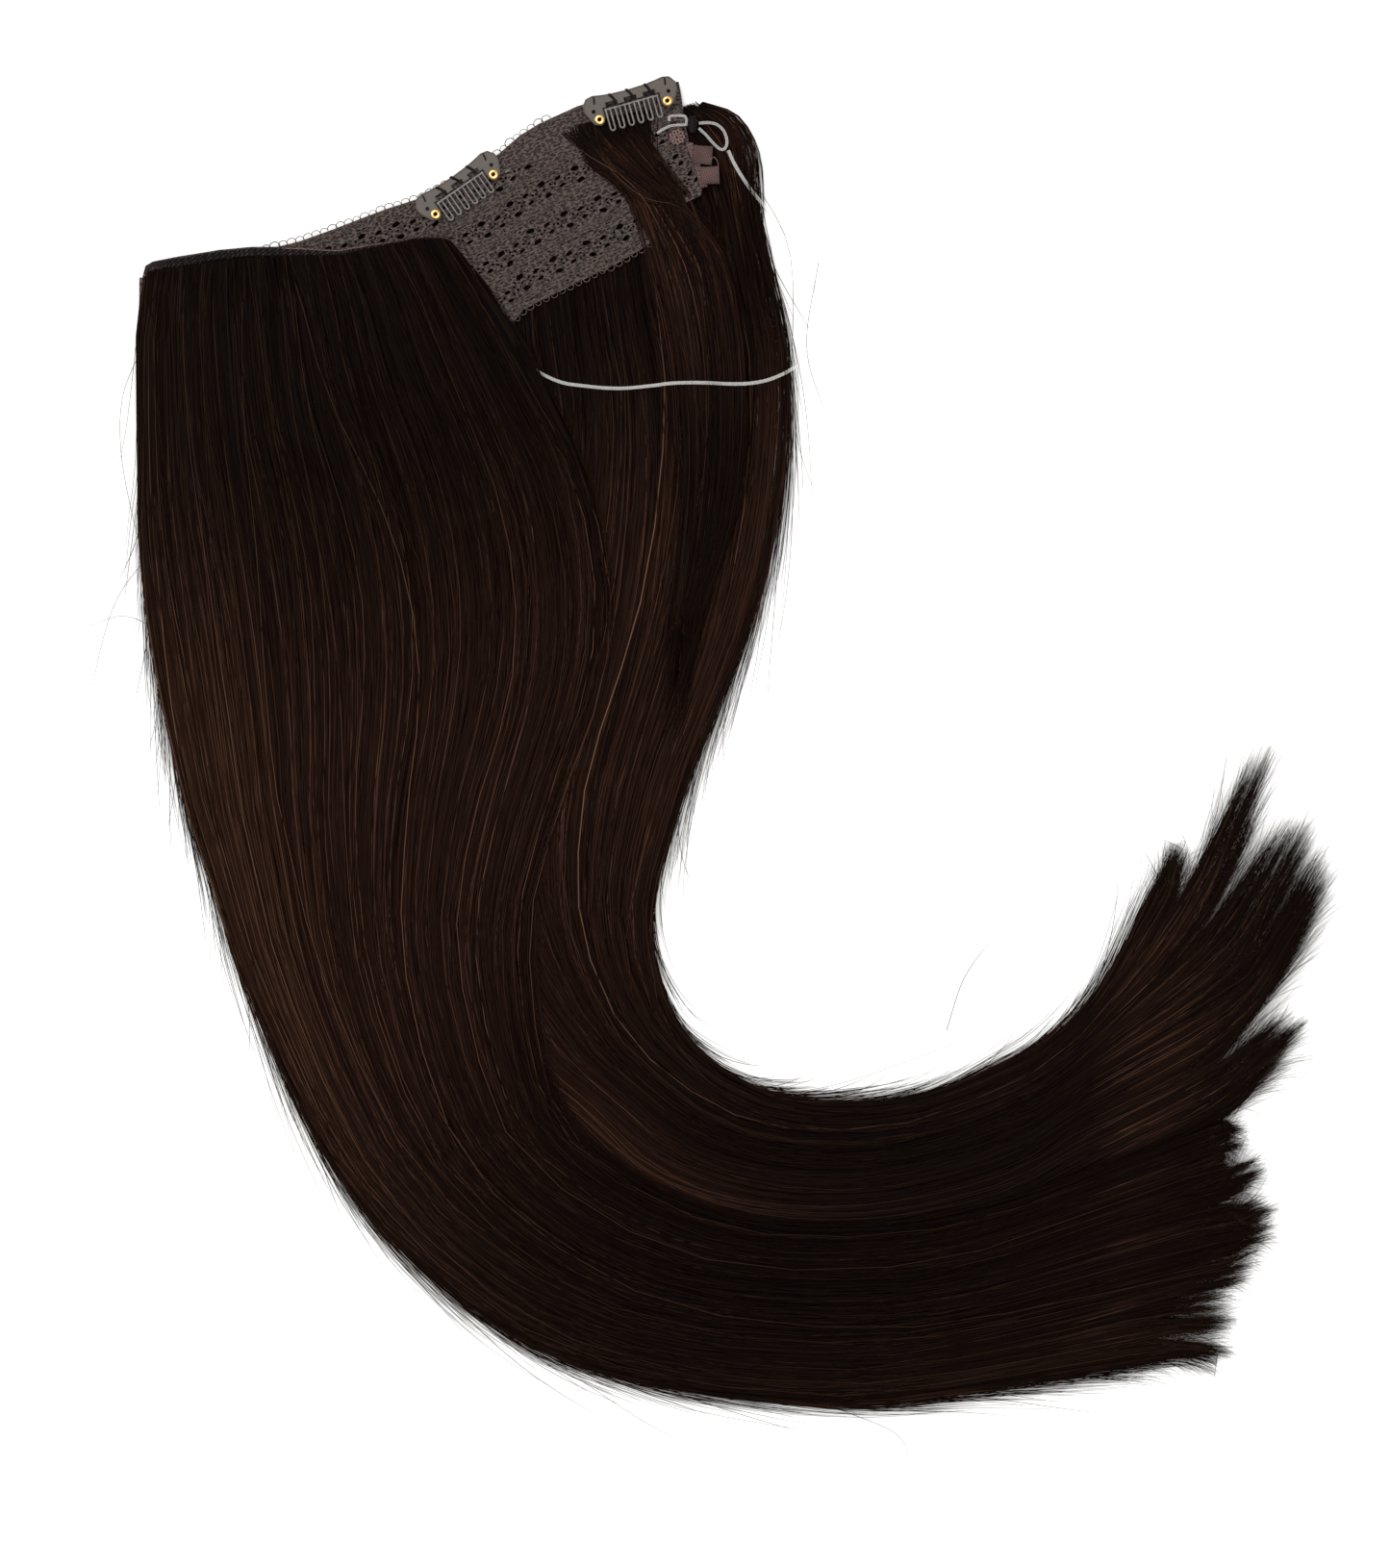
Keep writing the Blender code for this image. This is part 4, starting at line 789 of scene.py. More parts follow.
# strands down a mass in clumps, each with its own start, end, tone and width
def combedStrands(settings):
    kind = settings["kind"]
    rng = np.random.default_rng(settings["seed"])
    count = settings["count"]
    clumps = rng.uniform(-0.004, 1.004, settings["clumps"])
    clumpTone = rng.beta(1.3, 3.4, settings["clumps"])
    pick = rng.integers(0, settings["clumps"], count)
    size = settings["clumpSize"] * rng.uniform(0.3, 1.6, settings["clumps"])[pick]
    offset = rng.normal(0, 1, count)
    rowCount = (len(endLock) if kind == "end" else len(flow) + 2) + 3
    t = np.linspace(0, 1, rowCount)[:, None]
    tight = 0.75 + 0.5 * np.sin(t * rng.uniform(3, 9, count) + rng.uniform(0, 6, count))
    drift = rng.normal(0, settings["drift"], count) * (t - rng.uniform(0, 1, count))
    strays = rng.random(count) < settings["strays"]
    drift = drift + np.where(strays, rng.normal(0, settings["drift"] * 6, count),
                             0) * np.sin(t * rng.uniform(2, 6, count))
    wander = rng.normal(0, settings["wander"],
                        (rowCount, count)) + rng.normal(0, settings["wander"], (rowCount, settings["clumps"]))[:, pick]
    wander = np.concatenate([wander[:1], (wander[:-2] + 2 * wander[1:-1] + wander[2:]) / 4, wander[-1:]])
    shares = clumps[pick] + offset * size * tight + drift + wander
    shares = np.clip(shares, settings["over"] * (0.8 - 2.2 * rng.random(count)),
                     1 - settings["over"] * (0.8 - 2.4 * rng.random(count)))
    low, high = settings["spill"]
    widen = np.interp(np.arange(rowCount), (3, 8, 11, 19, 21), (0.0, 0.6, 1.0, 0.9, 0.1))[:, None]
    spilt = shares + widen * (high * np.clip(shares - 0.8, 0,
                                             1) * 5 - low * np.clip(0.2 - shares, 0, 1) * 5) * rng.random(count)
    level = np.where(np.arange(rowCount)[:, None] >= 10, np.clip(spilt, 0.07 * (low > 0), 1 - 0.07 * (high > 0)), spilt)
    shares = spilt
    loose = rng.beta(1.0, 3.5, count)
    rows = hairRows(kind, shares, rng.normal(0, settings["spread"], count),
                    rng.normal(settings["reach"][0], settings["reach"][1], count), loose)
    last = rowCount - 1
    start = rng.uniform(0, settings["startRange"], count)
    if "hidden" in settings:
        begun = np.interp(shares[0], settings["hidden"][0], settings["hidden"][1])
        start = np.maximum(start, begun + rng.uniform(0, 1.0, count) * (begun > 0))
    end = last - rng.beta(*settings["endShape"], count) * settings["endRange"]
    steps = np.linspace(0, 1, settings["points"])[:, None] ** settings["crowding"]
    at = start + (end - start) * steps
    plan = catmull(rows, at)
    levelPlan = catmull(hairRows(kind, level), np.minimum(at, last - 2))  # where the strand takes its height from
    levelPlan = np.where((at > last - 2)[..., None], plan, levelPlan)
    z = topOf(settings["over_nodes"], levelPlan)
    if "beside" in settings:
        z = np.where(np.isnan(z), topOf(settings["beside"], levelPlan), z)
    z = filled(z)
    z = np.concatenate([z[:1], (z[:-2] + z[1:-1] * 2 + z[2:]) / 4, z[-1:]])
    if "bridge" in settings:  # loose hair that lies over the wire where that goes in under it
        cx, cy, reachOut, high = settings["bridge"]
        z = np.maximum(z, high * np.exp(-((plan[..., 0] - cx) ** 2 + (plan[..., 1] - cy) ** 2) / reachOut**2))
    layer = rng.uniform(0.0, 1.0, count) ** 1.4 * (1 + 0.8 * strays)
    rise = np.minimum(1.0, steps * settings["riseRate"] + settings["riseFrom"])
    z = z + 0.05 + settings["layers"] * layer * rise - settings["settle"] * (1 - layer)
    lines = np.transpose(placeAll(np.concatenate([plan, np.maximum(z, 0.15)[..., None]], axis=-1)), (1, 0, 2))
    # painted glints: strands made lighter by their place across the lock, most along the wing's outer edge and the
    # back's inner edge
    lift = np.interp(shares[6], settings["glintShares"], settings["glintLift"])
    tone = np.clip(clumpTone[pick] * 0.45 + rng.beta(1.1, 3.2, count) * 0.75 + lift + 0.12 * strays, 0, 1)
    wide = rng.uniform(*settings["wide"], count) * mm
    return lines, tone, wide, rng.normal(0, 0.45, count)


wingStrands = dict(kind="wing", over_nodes=("hair_wing", "wing_weft"), beside=("hair_back", "lace_base"),
                   slot="hair_wing", count=3700, points=27, over=0.008, startRange=0.04, endShape=(1.2, 1.5),
                   riseRate=3.0, riseFrom=0.1, crowding=1.2, bridge=(131.5, -27.5, 12.0, 9.2),
                   glintShares=(0, 0.08, 0.25, 1))
strandsOf = {
    "wing_strands_a": dict(**wingStrands, seed=21, clumps=300, clumpSize=0.0035, drift=0.008, wander=0.0034,
                           strays=0.05, spill=(0.0, 0.05), spread=0.7, reach=(0.0, 1.5), endRange=3.2,
                           layers=0.5, settle=0.5, wide=(0.22, 0.44), glintLift=(0.2, 0.12, 0.02, 0.0)),
    "wing_strands_b": dict(**wingStrands, seed=22, clumps=700, clumpSize=0.002, drift=0.009, wander=0.0048,
                           strays=0.12, spill=(0.0, 0.13), spread=1.0, reach=(0.0, 2.0), endRange=3.4,
                           layers=0.9, settle=0.2, wide=(0.15, 0.3), glintLift=(0.24, 0.15, 0.03, 0.01)),
    "back_strands": dict(kind="back", over_nodes=("hair_back",), slot="hair_back", seed=23, count=3700, points=27,
                         clumps=420, clumpSize=0.004,
                         drift=0.012, wander=0.0045, strays=0.1, over=0.008, spill=(0.07, 0.0), spread=0.9,
                         reach=(0.0, 2.0), startRange=0.05,
                         endRange=3.2, endShape=(1.2, 1.5), layers=0.45, settle=0.3, riseRate=3.0, riseFrom=0.05,
                         crowding=1.05,
                         hidden=((0.0, 0.42, 0.5, 0.56, 1.0), (9.0, 6.0, 1.0, 0.0, 0.0)), wide=(0.17, 0.4),
                         glintShares=(0, 0.9, 1),
                         glintLift=(0.0, 0.02, 0.12)),
    "end_lock_strands": dict(kind="end", over_nodes=("hair_end_lock",), beside=("hair_back", "lace_base"),
                             slot="hair_end_lock", seed=24, count=1000,
                             points=20, clumps=60, clumpSize=0.03, drift=0.1, wander=0.03, strays=0.12, over=0.12,
                             spill=(0.0, 0.0), spread=5.0,
                             reach=(22.0, 24.0), startRange=0.02, endRange=6.5, endShape=(1.0, 1.0), layers=0.4,
                             settle=0.3,
                             riseRate=4.0, riseFrom=0.1, crowding=1.0, wide=(0.16, 0.36), glintShares=(0, 1),
                             glintLift=(0.06, 0.03)),
}
for name, settings in strandsOf.items():
    ribbonPiece(name, *combedStrands(settings), settings["slot"])


# loose strands from under the right clip: some cross the lace, and a thin golden fall stands off the edge
def clipFall(settings):
    rng = np.random.default_rng(settings["seed"])
    lines = []
    for left, right, share in settings["falls"]:
        left, right = smooth(left, 16), smooth(right, 16)
        for _ in range(share):
            s = rng.random() + np.sin(np.linspace(0, rng.uniform(1, 5), 16) + rng.uniform(0, 6)) * 0.14
            line = left + (right - left) * s[:, None]
            line = line[: rng.integers(9, 17)]
            z = filled(topOf(settings["nodes"], line[:, None, :]), 0.5)[:, 0]
            z = np.maximum(z, np.interp(line[:, 0], (186.0, 200.0, 212.0),
                                        (0.0, 2.5, 1.0))) + rng.uniform(0.15, 1.3) * np.sin(np.linspace(0.2, 3.0, len(line)))
            lines.append(placeAll(np.column_stack([line, z])))
    tone = np.clip(rng.beta(1.4, 2.8, len(lines)), 0, 1)
    ribbonPiece("clip_fall_strands", lines, tone, rng.uniform(0.12, 0.24, len(lines)) * mm,
                rng.normal(0, 0.4, len(lines)), "hair_end_lock")


clipFall(dict(seed=35, nodes=("hair_end_lock", "hair_back", "lace_base"), falls=[
    ([(146, 50.5), (156, 42), (166, 35), (175, 27), (178, 8), (176, -20)],
     [(168, 54), (176, 42), (183, 33), (188, 26), (196, 0), (197, -30)], 220),
    ([(152, 51), (160, 38), (172, 27), (184, 24), (192, 14), (194, -12)],
     [(160, 53), (168, 46), (178, 36), (184, 28), (186, 12), (181, -20)], 120),
    ([(190, 59), (197, 55), (203, 46), (204, 34), (208, 18), (214, -4)],
     [(192, 61), (204, 56), (211, 44), (212.5, 28), (213, 14), (219, -8)], 110),
    ([(188, 58), (195, 48), (200, 36), (203, 20), (207, 0), (211, -30)],
     [(192, 60), (202, 52), (208, 40), (209, 24), (214, 8), (219, -18)], 150),
]))


# short fine strands at the tail's end, which carry each lock out into wisps and single hairs
def tipStrands(name, kind, slot, settings):
    rng = np.random.default_rng(settings["seed"])
    count = settings["count"]
    shares = rng.uniform(-0.012, 1.012, count)
    single = rng.random(count) < settings["single"]
    loose = np.where(single, rng.uniform(0.6, 1.6, count), rng.beta(1.0, 5.0, count))
    rows = hairRows(kind, shares, rng.normal(0, settings["spread"], count),
                    rng.normal(0, 2.0, count) + single * settings["reach"], loose)
    last = len(rows) - 1
    start = last - rng.uniform(1.9, 3.6, count)
    end = last - rng.beta(1.0, 2.0, count) * 1.6
    steps = np.linspace(0, 1, settings["points"])[:, None]
    plan = catmull(rows, start + (end - start) * steps)
    ahead = plan[-1] - plan[-3]
    ahead /= np.linalg.norm(ahead, axis=1)[:, None] + 1e-6
    aside = np.stack([-ahead[:, 1], ahead[:, 0]], axis=-1)
    bend = rng.standard_t(4, count) * settings["fan"] * (1 + 2.5 * single)
    plan = plan + aside * (np.clip(bend, -14, 14) * steps**2.4)[..., None]
    z = filled(topOf((settings["node"],), plan))
    z = np.concatenate([z[:1], (z[:-2] + z[1:-1] * 2 + z[2:]) / 4,
                        z[-1:]]) + rng.uniform(0.05, 0.9, count) * np.minimum(1, steps * 3)
    lines = np.transpose(placeAll(np.concatenate([plan, z[..., None]], axis=-1)), (1, 0, 2))
    tone = np.clip(rng.beta(1.6, 3.0, count) + 0.1 * single, 0, 1)
    ribbonPiece(name, lines, tone, rng.uniform(0.1, 0.18, count) * mm, rng.normal(0, 0.4, count), slot)


tipStrands("wing_tip_strands", "wing", "hair_wing",
           dict(node="hair_wing", seed=31, count=4200, points=9, single=0.34, spread=0.8, reach=1.0, fan=1.3))
tipStrands("back_tip_strands", "back", "hair_back",
           dict(node="hair_back", seed=32, count=4200, points=9, single=0.3, spread=0.9, reach=1.0, fan=1.6))


# single hairs that leave the mass's edges, curl away over the surface and come to an end
def flyaways(settings):
    rng = np.random.default_rng(settings["seed"])
    lines, points = [], 14
    limits = np.array([cadBox[0][:2], cadBox[1][:2]]) / mm + (originX, originY)
    for kind, side, rowFrom, rowTo, count, away in settings["edges"]:
        for _ in range(count):
            share = side + rng.normal(0, 0.004)
            rows = hairRows(kind, np.array([share]))[:, 0]
            start = rng.uniform(rowFrom, rowTo)
            long = rng.uniform(1.2, 4.2)
            at = np.clip(start + np.linspace(0, long, points), 0, len(rows) - 1.02)
            base = catmull(rows, at)
            ahead = np.gradient(base, axis=0)
            ahead /= np.linalg.norm(ahead, axis=1)[:, None] + 1e-6
            out = np.stack([ahead[:, 1], -ahead[:, 0]], axis=1) * away
            s = np.linspace(0, 1, points)
            push = abs(rng.normal(0, 1)) * 6.5 * s ** rng.uniform(1.2, 2.6) * (1 - 0.6 * s * rng.random())
            plan = base + out * push[:, None]
            plan = np.clip(plan, limits[0] - strayReach, limits[1] + strayReach)
            z = 0.3 + rng.uniform(1.0, 6.0) * (1 - s) ** 2 + rng.uniform(0.0, 2.5) * np.sin(s * math.pi)
            lines.append(placeAll(np.column_stack([plan, z])))
    for route in settings["strays"]:
        line = smooth(route, 20)
        lines.append(placeAll(np.column_stack([line, 0.5 + 1.5 * np.sin(np.linspace(0.3, 3.0, 20))])))
    count = len(lines)
    ribbonPiece("flyaway_hairs", lines, rng.uniform(0.1, 0.7, count), rng.uniform(0.13, 0.24, count) * mm,
                rng.normal(0, 0.3, count), "hair_wing", material="fly")


flyaways(dict(seed=41, edges=[
    ("wing", 0.0, 0.5, 6.0, 90, 1), ("wing", 0.0, 5.0, 12.0, 190, 1), ("wing", 0.0, 11.0, 20.0, 330, 1),
    ("wing", 0.0, 16.0, 21.0, 190, 1),
    ("back", 1.0, 1.0, 8.0, 150, -1), ("back", 1.0, 8.0, 14.0, 100, -1), ("back", 1.0, 13.0, 20.5, 190, -1),
], strays=[
    [(0.0, -22.0), (-7.0, -40.0), (-7.5, -60.0), (-3.0, -84.0), (2.0, -100.0)],
    [(14.0, -126.0), (-4.0, -116.0), (-16.0, -118.0), (-22.0, -122.0)],
    [(6.0, -90.0), (-10.0, -112.0), (-20.0, -150.0)],
    [(4.0, -60.0), (-1.5, -20.0), (1.0, 3.0), (8.0, 6.5)],
    [(176.0, 36.0), (199.0, 22.0), (216.0, -20.0), (222.0, -40.0)],
    [(206.0, 40.0), (222.0, 10.0), (223.0, -34.0), (226.0, -60.0), (238.0, -88.0)],
    [(232.0, 6.0), (228.0, -24.0), (236.0, -50.0)],
    [(204.0, -282.0), (240.0, -276.0), (280.0, -262.0), (296.0, -256.0)],
    [(276.0, -258.0), (282.0, -240.0), (292.0, -226.0)],
    [(150.0, -378.0), (170.0, -391.0), (186.0, -400.0)],
    [(236.0, -387.0), (258.0, -396.0), (264.0, -406.0)],
]))

# lace band: taupe cloth with its pattern cut through, folded over at the left

bandTop = [
    (0.0, 0.5), (27.0, 6.5), (53.5, 13.0), (63.5, 16.5), (83.0, 24.0), (95.5, 28.0), (108.0, 34.5), (122.0, 43.0),
    (129.5, 49.5), (136.0, 53.5), (149.0, 59.5), (162.5, 63.5), (177.0, 67.0), (184.0, 68.0),
]
bandEnd = [(185.0, 62.5), (186.0, 54.5), (187.5, 47.0), (190.0, 40.5), (192.5, 33.0), (191.5, 28.5)]
bandLow = [
    (187.0, 26.5), (182.0, 20.5), (173.5, 11.5), (162.5, 5.0), (149.0, -1.5), (131.0, -10.5), (127.5, -15.0),
    (106.5, -23.0), (83.0, -30.5), (50.0, -40.5), (24.0, -47.5), (0.0, -54.5),
]
wingEdge = [
    (0.0, 0.5), (1.0, 4.5), (3.5, 6.0), (11.0, 7.5), (26.5, 10.0), (37.5, 11.0), (51.0, 11.0), (66.5, 10.0),
    (72.5, 11.0), (86.0, 13.0), (94.5, 14.5), (103.5, 14.5), (108.0, 13.0), (111.0, 9.0), (115.0, 0.0),
    (119.0, -10.5), (122.0, -22.0), (122.5, -29.0), (118.0, -35.0), (83.0, -40.0), (40.5, -46.5), (0.0, -54.5),
]
laceThick = 0.5
laceSink = 0.2  # the lace's middle lies this far over the solid's own middle
foldRise = 1.9


def bandPlace(alongShare, acrossShare):
    top = alongLine(bandTop, np.asarray(alongShare, float))
    low = alongLine(bandLow[::-1], np.asarray(alongShare, float))
    return top + (low - top) * np.asarray(acrossShare, float)[..., None]


# a flat sheet with its holes cut through, in plan metres
def flatCloth(outline, holes, thick):
    curve = bpy.data.curves.new("cloth", "CURVE")
    curve.dimensions = "2D"
    curve.fill_mode = "BOTH"
    curve.extrude = thick * mm / 2
    for points in [outline, *holes]:
        spline = curve.splines.new("POLY")
        spline.points.add(len(points) - 1)
        for slotPoint, (x, y) in zip(spline.points, points):
            slotPoint.co = (x * mm, y * mm, 0.0, 1.0)
        spline.use_cyclic_u = True
    obj = bpy.data.objects.new("cloth", curve)
    stageScene.collection.objects.link(obj)
    depsgraph = bpy.context.evaluated_depsgraph_get()
    mesh = bpy.data.meshes.new_from_object(obj.evaluated_get(depsgraph))
    bpy.data.objects.remove(obj, do_unlink=True)
    bm = bmesh.new()
    bm.from_mesh(mesh)
    bmesh.ops.remove_doubles(bm, verts=bm.verts, dist=0.000005)
    bm.to_mesh(mesh)
    bm.free()
    return mesh


def layCloth(mesh, lift):
    count = len(mesh.vertices)
    co = np.empty(count * 3)
    mesh.vertices.foreach_get("co", co)
    co = co.reshape(-1, 3) / mm
    co[:, 2] += slopeHeight(co[:, 0], co[:, 1]) + lift
    mesh.vertices.foreach_set("co", placeAll(co).ravel())
    mesh.update()


# one hole of the lace, a little uneven as hooked thread leaves it
def oval(centre, length, width, angle, sides, rng):
    turn = np.linspace(0, 2 * math.pi, sides, endpoint=False)
    a = np.cos(turn) * length / 2 * rng.uniform(0.85, 1.12, sides)
    b = np.sin(turn) * width / 2 * rng.uniform(0.85, 1.12, sides)
    c, s = math.cos(angle), math.sin(angle)
    return [(centre[0] + c * p - s * q, centre[1] + s * p + c * q) for p, q in zip(a, b)]


lacePattern = dict(seed=51, start=0.27, end=0.985, pitch=12.4, rosetteRows=(0.16, 0.385, 0.615, 0.84),
                   ringRadius=2.7, petals=9, scattered=1500)


# rosettes in rows, each a ring of small holes with a larger one over and under it, slits between
# them, and rows of short slits along the ribs
def laceHoles(settings):
    rng = np.random.default_rng(settings["seed"])
    holes, taken = [], []
    length = float(np.linalg.norm(np.diff(np.array(bandTop), axis=0), axis=1).sum())

    def add(share, acrossShare, dAlong, dAcross, long, wide, lean=0.0, sides=8):
        here = bandPlace(share, acrossShare)
        ahead = bandPlace(share + 0.004, acrossShare) - here
        angle = math.atan2(ahead[1], ahead[0])
        c, s = math.cos(angle), math.sin(angle)
        at = (here[0] + c * dAlong - s * dAcross, here[1] + s * dAlong + c * dAcross)
        reach = max(long, wide) / 2
        if any((at[0] - x) ** 2 + (at[1] - y) ** 2 < (reach + r + 0.16) ** 2 for x, y, r in taken):
            return
        top, low = bandPlace(share, 0.03), bandPlace(share, 0.97)
        across2 = low - top
        f = ((np.array(at) - top) @ across2) / (across2 @ across2)
        if f < 0.0 or f > 1.0:
            return
        if treeOf["hair_back"].ray_cast(place(at[0], at[1], rayOver), down)[0] is None:
            return  # only the bare floor would show through
        taken.append((at[0], at[1], reach * 0.85))
        holes.append(oval(at, long, wide, angle + lean, sides, rng))

    count = int(length * (settings["end"] - settings["start"]) / settings["pitch"])
    for r, row in enumerate(settings["rosetteRows"]):
        for i in range(count + 1):
            share = settings["start"] + (settings["end"] - settings["start"]) * (i + 0.5 * (r % 2)) / (count + 0.5)
            if share > settings["end"]:
                continue
            add(share, row, 0.2, 2.2, 3.1, 1.8, rng.uniform(-0.2, 0.3))
            add(share, row, 0.5, -2.3, 2.9, 1.7, rng.uniform(-0.2, 0.3))
            for p in range(settings["petals"]):
                turn = 2 * math.pi * (p + 0.5) / settings["petals"]
                add(share, row, settings["ringRadius"] * 1.15 * math.cos(turn),
                    settings["ringRadius"] * 0.75 * math.sin(turn), 1.1, 0.8, turn, 6)
            add(share, row, 0.1, 0.0, 1.3, 0.7, 0.3, 6)
            add(share, row, 6.1, 1.4, 2.7, 1.3, 0.15)
            add(share, row, 6.4, -1.6, 2.5, 1.2, 0.15)
            add(share, row, 4.4, 0.0, 0.9, 1.0, 0.0, 6)
            add(share, row, 8.2, 0.1, 0.9, 1.0, 0.0, 6)
    for row in (0.05, 0.285, 0.50, 0.725, 0.94):
        steps = int(length * (settings["end"] - settings["start"]) / 2.6)
        for i in range(steps):
            share = settings["start"] + (settings["end"] - settings["start"]) * (i + rng.uniform(0.2, 0.8)) / steps
            for shift in (-1.0, 0.25, 1.4):
                if rng.random() < 0.72:
                    add(share, row, rng.uniform(-0.5, 0.5), shift, rng.uniform(1.0, 2.0), rng.uniform(0.35, 0.5),
                        rng.uniform(-0.1, 0.2), 6)
    for _ in range(settings["scattered"]):
        share, row = rng.uniform(settings["start"], settings["end"]), rng.uniform(0.04, 0.96)
        add(share, row, 0, 0, rng.uniform(0.6, 1.2), rng.uniform(0.35, 0.6), rng.uniform(-0.5, 0.8), 5)
    return holes


laceCloth = laceMaterial("lace_taupe")
holes = laceHoles(lacePattern)
foldLine = [(0.0, y) for y in np.linspace(-54.5, 0.5, 12)][1:-1]
lowerCloth = flatCloth(bandTop + bandEnd + bandLow + foldLine, holes, laceThick)
layCloth(lowerCloth, laceSink)
upperCloth = flatCloth(wingEdge + foldLine, [], laceThick)
layCloth(upperCloth, foldRise + laceSink)
bm = bmesh.new()
bm.from_mesh(lowerCloth)
bm.from_mesh(upperCloth)
rings = []
for y in np.linspace(-54.5, 0.5, 12):
    ring = []
    for r in (foldRise / 2 + laceThick / 2, foldRise / 2 - laceThick / 2):
        turn = np.linspace(math.pi / 2, 3 * math.pi / 2, 11)
        turn = turn if r > foldRise / 2 else turn[::-1]
        ring += [bm.verts.new(place(r * math.cos(a), y,
                                    slopeHeight(0.0, y) + laceSink + foldRise / 2 + r * math.sin(a))) for a in turn]
    rings.append(ring)
for first, second in zip(rings, rings[1:]):
    for i in range(len(first)):
        j = (i + 1) % len(first)
        bm.faces.new((first[i], first[j], second[j], second[i]))
bmesh.ops.remove_doubles(bm, verts=bm.verts, dist=0.00002)
bmesh.ops.recalc_face_normals(bm, faces=bm.faces)
laceMesh = bpy.data.meshes.new("lace_cloth")
bm.to_mesh(laceMesh)
bm.free()
lace = newObject("lace_cloth", laceMesh, laceCloth)
finishPiece(lace, "root", "lace_base", "lace_base")


def bandLine(share, start, end, count, lift):
    at = np.linspace(start, end, count)
    line = bandPlace(at, np.full(count, share))
    return onSlope(line, lift)


ribLift = laceSink + laceThick / 2 + 0.03
ribs = [bandLine(row + shift, 0.26, 0.985, 90, ribLift) for row in (0.27, 0.485, 0.71,
                                                                    0.925) for shift in (-0.011, 0.008, 0.027)]
ribs += [bandLine(row, 0.26, 0.99, 90, ribLift) for row in (0.012, 0.988)]
laceThread = clothMaterial("lace_thread", (0.1, 0.075, 0.066), (0.035, 0.026, 0.022), 260.0, 0.00005)
finishPiece(threads("lace_ribs", ribs, 0.00016, laceThread, 5), "root", "lace_base")

# picot loops on both edges: one small arch, copied along each edge line

# copies a small arch along the guide lines, turned with the edge
def makePicotTree():
    tree, into, out = newTree("picots",
                              [("NodeSocketFloat", "Spacing", 0.0033), ("NodeSocketObject", "Arch", None),
                               ("NodeSocketInt", "Seed", 3),
                                         ("NodeSocketMaterial", "Material", None)])
    lines = addNode(tree, "GeometryNodeMeshToCurve", inputs={"Mesh": into.outputs[0]})
    upright = addNode(tree, "GeometryNodeSetCurveNormal", {"mode": "Z_UP"}, {"Curve": lines.outputs[0]})
    points = addNode(tree, "GeometryNodeCurveToPoints", {"mode": "LENGTH"},
                     {"Curve": upright.outputs[0], "Length": into.outputs["Spacing"]})
    arch = addNode(tree, "GeometryNodeObjectInfo", inputs={"Object": into.outputs["Arch"]})
    align = addNode(tree, "FunctionNodeAlignRotationToVector", {"axis": "X"}, {"Vector": points.outputs["Tangent"]})
    uneven = addNode(tree, "FunctionNodeRandomValue", {"data_type": "FLOAT"},
                     {2: 0.78, 3: 1.18, "Seed": into.outputs["Seed"]})
    copies = addNode(tree, "GeometryNodeInstanceOnPoints", inputs={
        "Points": points.outputs[0], "Instance": arch.outputs["Geometry"], "Rotation": align.outputs[0],
        "Scale": uneven.outputs[1]})
    real = addNode(tree, "GeometryNodeRealizeInstances", inputs={0: copies.outputs[0]})
    finish = addNode(tree, "GeometryNodeSetMaterial",
                     inputs={"Geometry": real.outputs[0], "Material": into.outputs["Material"]})
    tree.links.new(finish.outputs[0], out.inputs[0])
    return tree


picotTree = makePicotTree()


def picots(name, line, spacing, side, radius, size):
    turn = np.linspace(-0.35, math.pi + 0.35, 12)
    arch = [(size[0] * math.cos(a) * mm, side * size[1] * (math.sin(a) + 0.25) * mm, 0.0) for a in turn]
    shape = threads("picot_arch", [arch], radius, laceThread, 5)
    mesh = grownMesh(name, guideLines([line]), picotTree,
                     {"Spacing": spacing, "Arch": shape, "Seed": 5, "Material": laceThread})
    bpy.data.objects.remove(shape, do_unlink=True)
    piece = newObject(name, mesh, laceThread)
    mesh.shade_smooth()
    finishPiece(piece, "root", "lace_base")


picots("picots_upper", bandLine(0.0, 0.22, 0.76, 120, laceSink), 0.0029, 1.0, 0.00015, (1.5, 1.3))
picots("picots_lower", bandLine(1.0, 0.46, 0.92, 120, laceSink), 0.0030, -1.0, 0.00017, (1.15, 1.0))
loosePicot = [(157.2, 5.2), (157.0, 3.6), (158.2, 2.6), (159.3, 3.4), (159.0, 4.6), (160.2, 5.3)]
loosePicot = smooth(loosePicot, 24)
finishPiece(threads("loose_picot", [onSlope(loosePicot, 0.3)], 0.0002, laceThread), "root", "lace_base")
print("lace trim")

# the sewn weft along the folded part's edge

weftDark = clothMaterial("weft_dark", (0.009, 0.006, 0.0055), (0.002, 0.0015, 0.0015), 240.0, 0.0001, 0.9)
mauveThread = clothMaterial("mauve_thread", (0.17, 0.105, 0.1), (0.06, 0.036, 0.035), 300.0, 0.00005)
path, side = weftSide(150)
weftBase = foldRise + 0.5 + 0.35


def weftLine(offset, lift, start=0, end=None):
    line = (path + side * offset)[start:end]
    return onSlope(line, weftBase + lift)


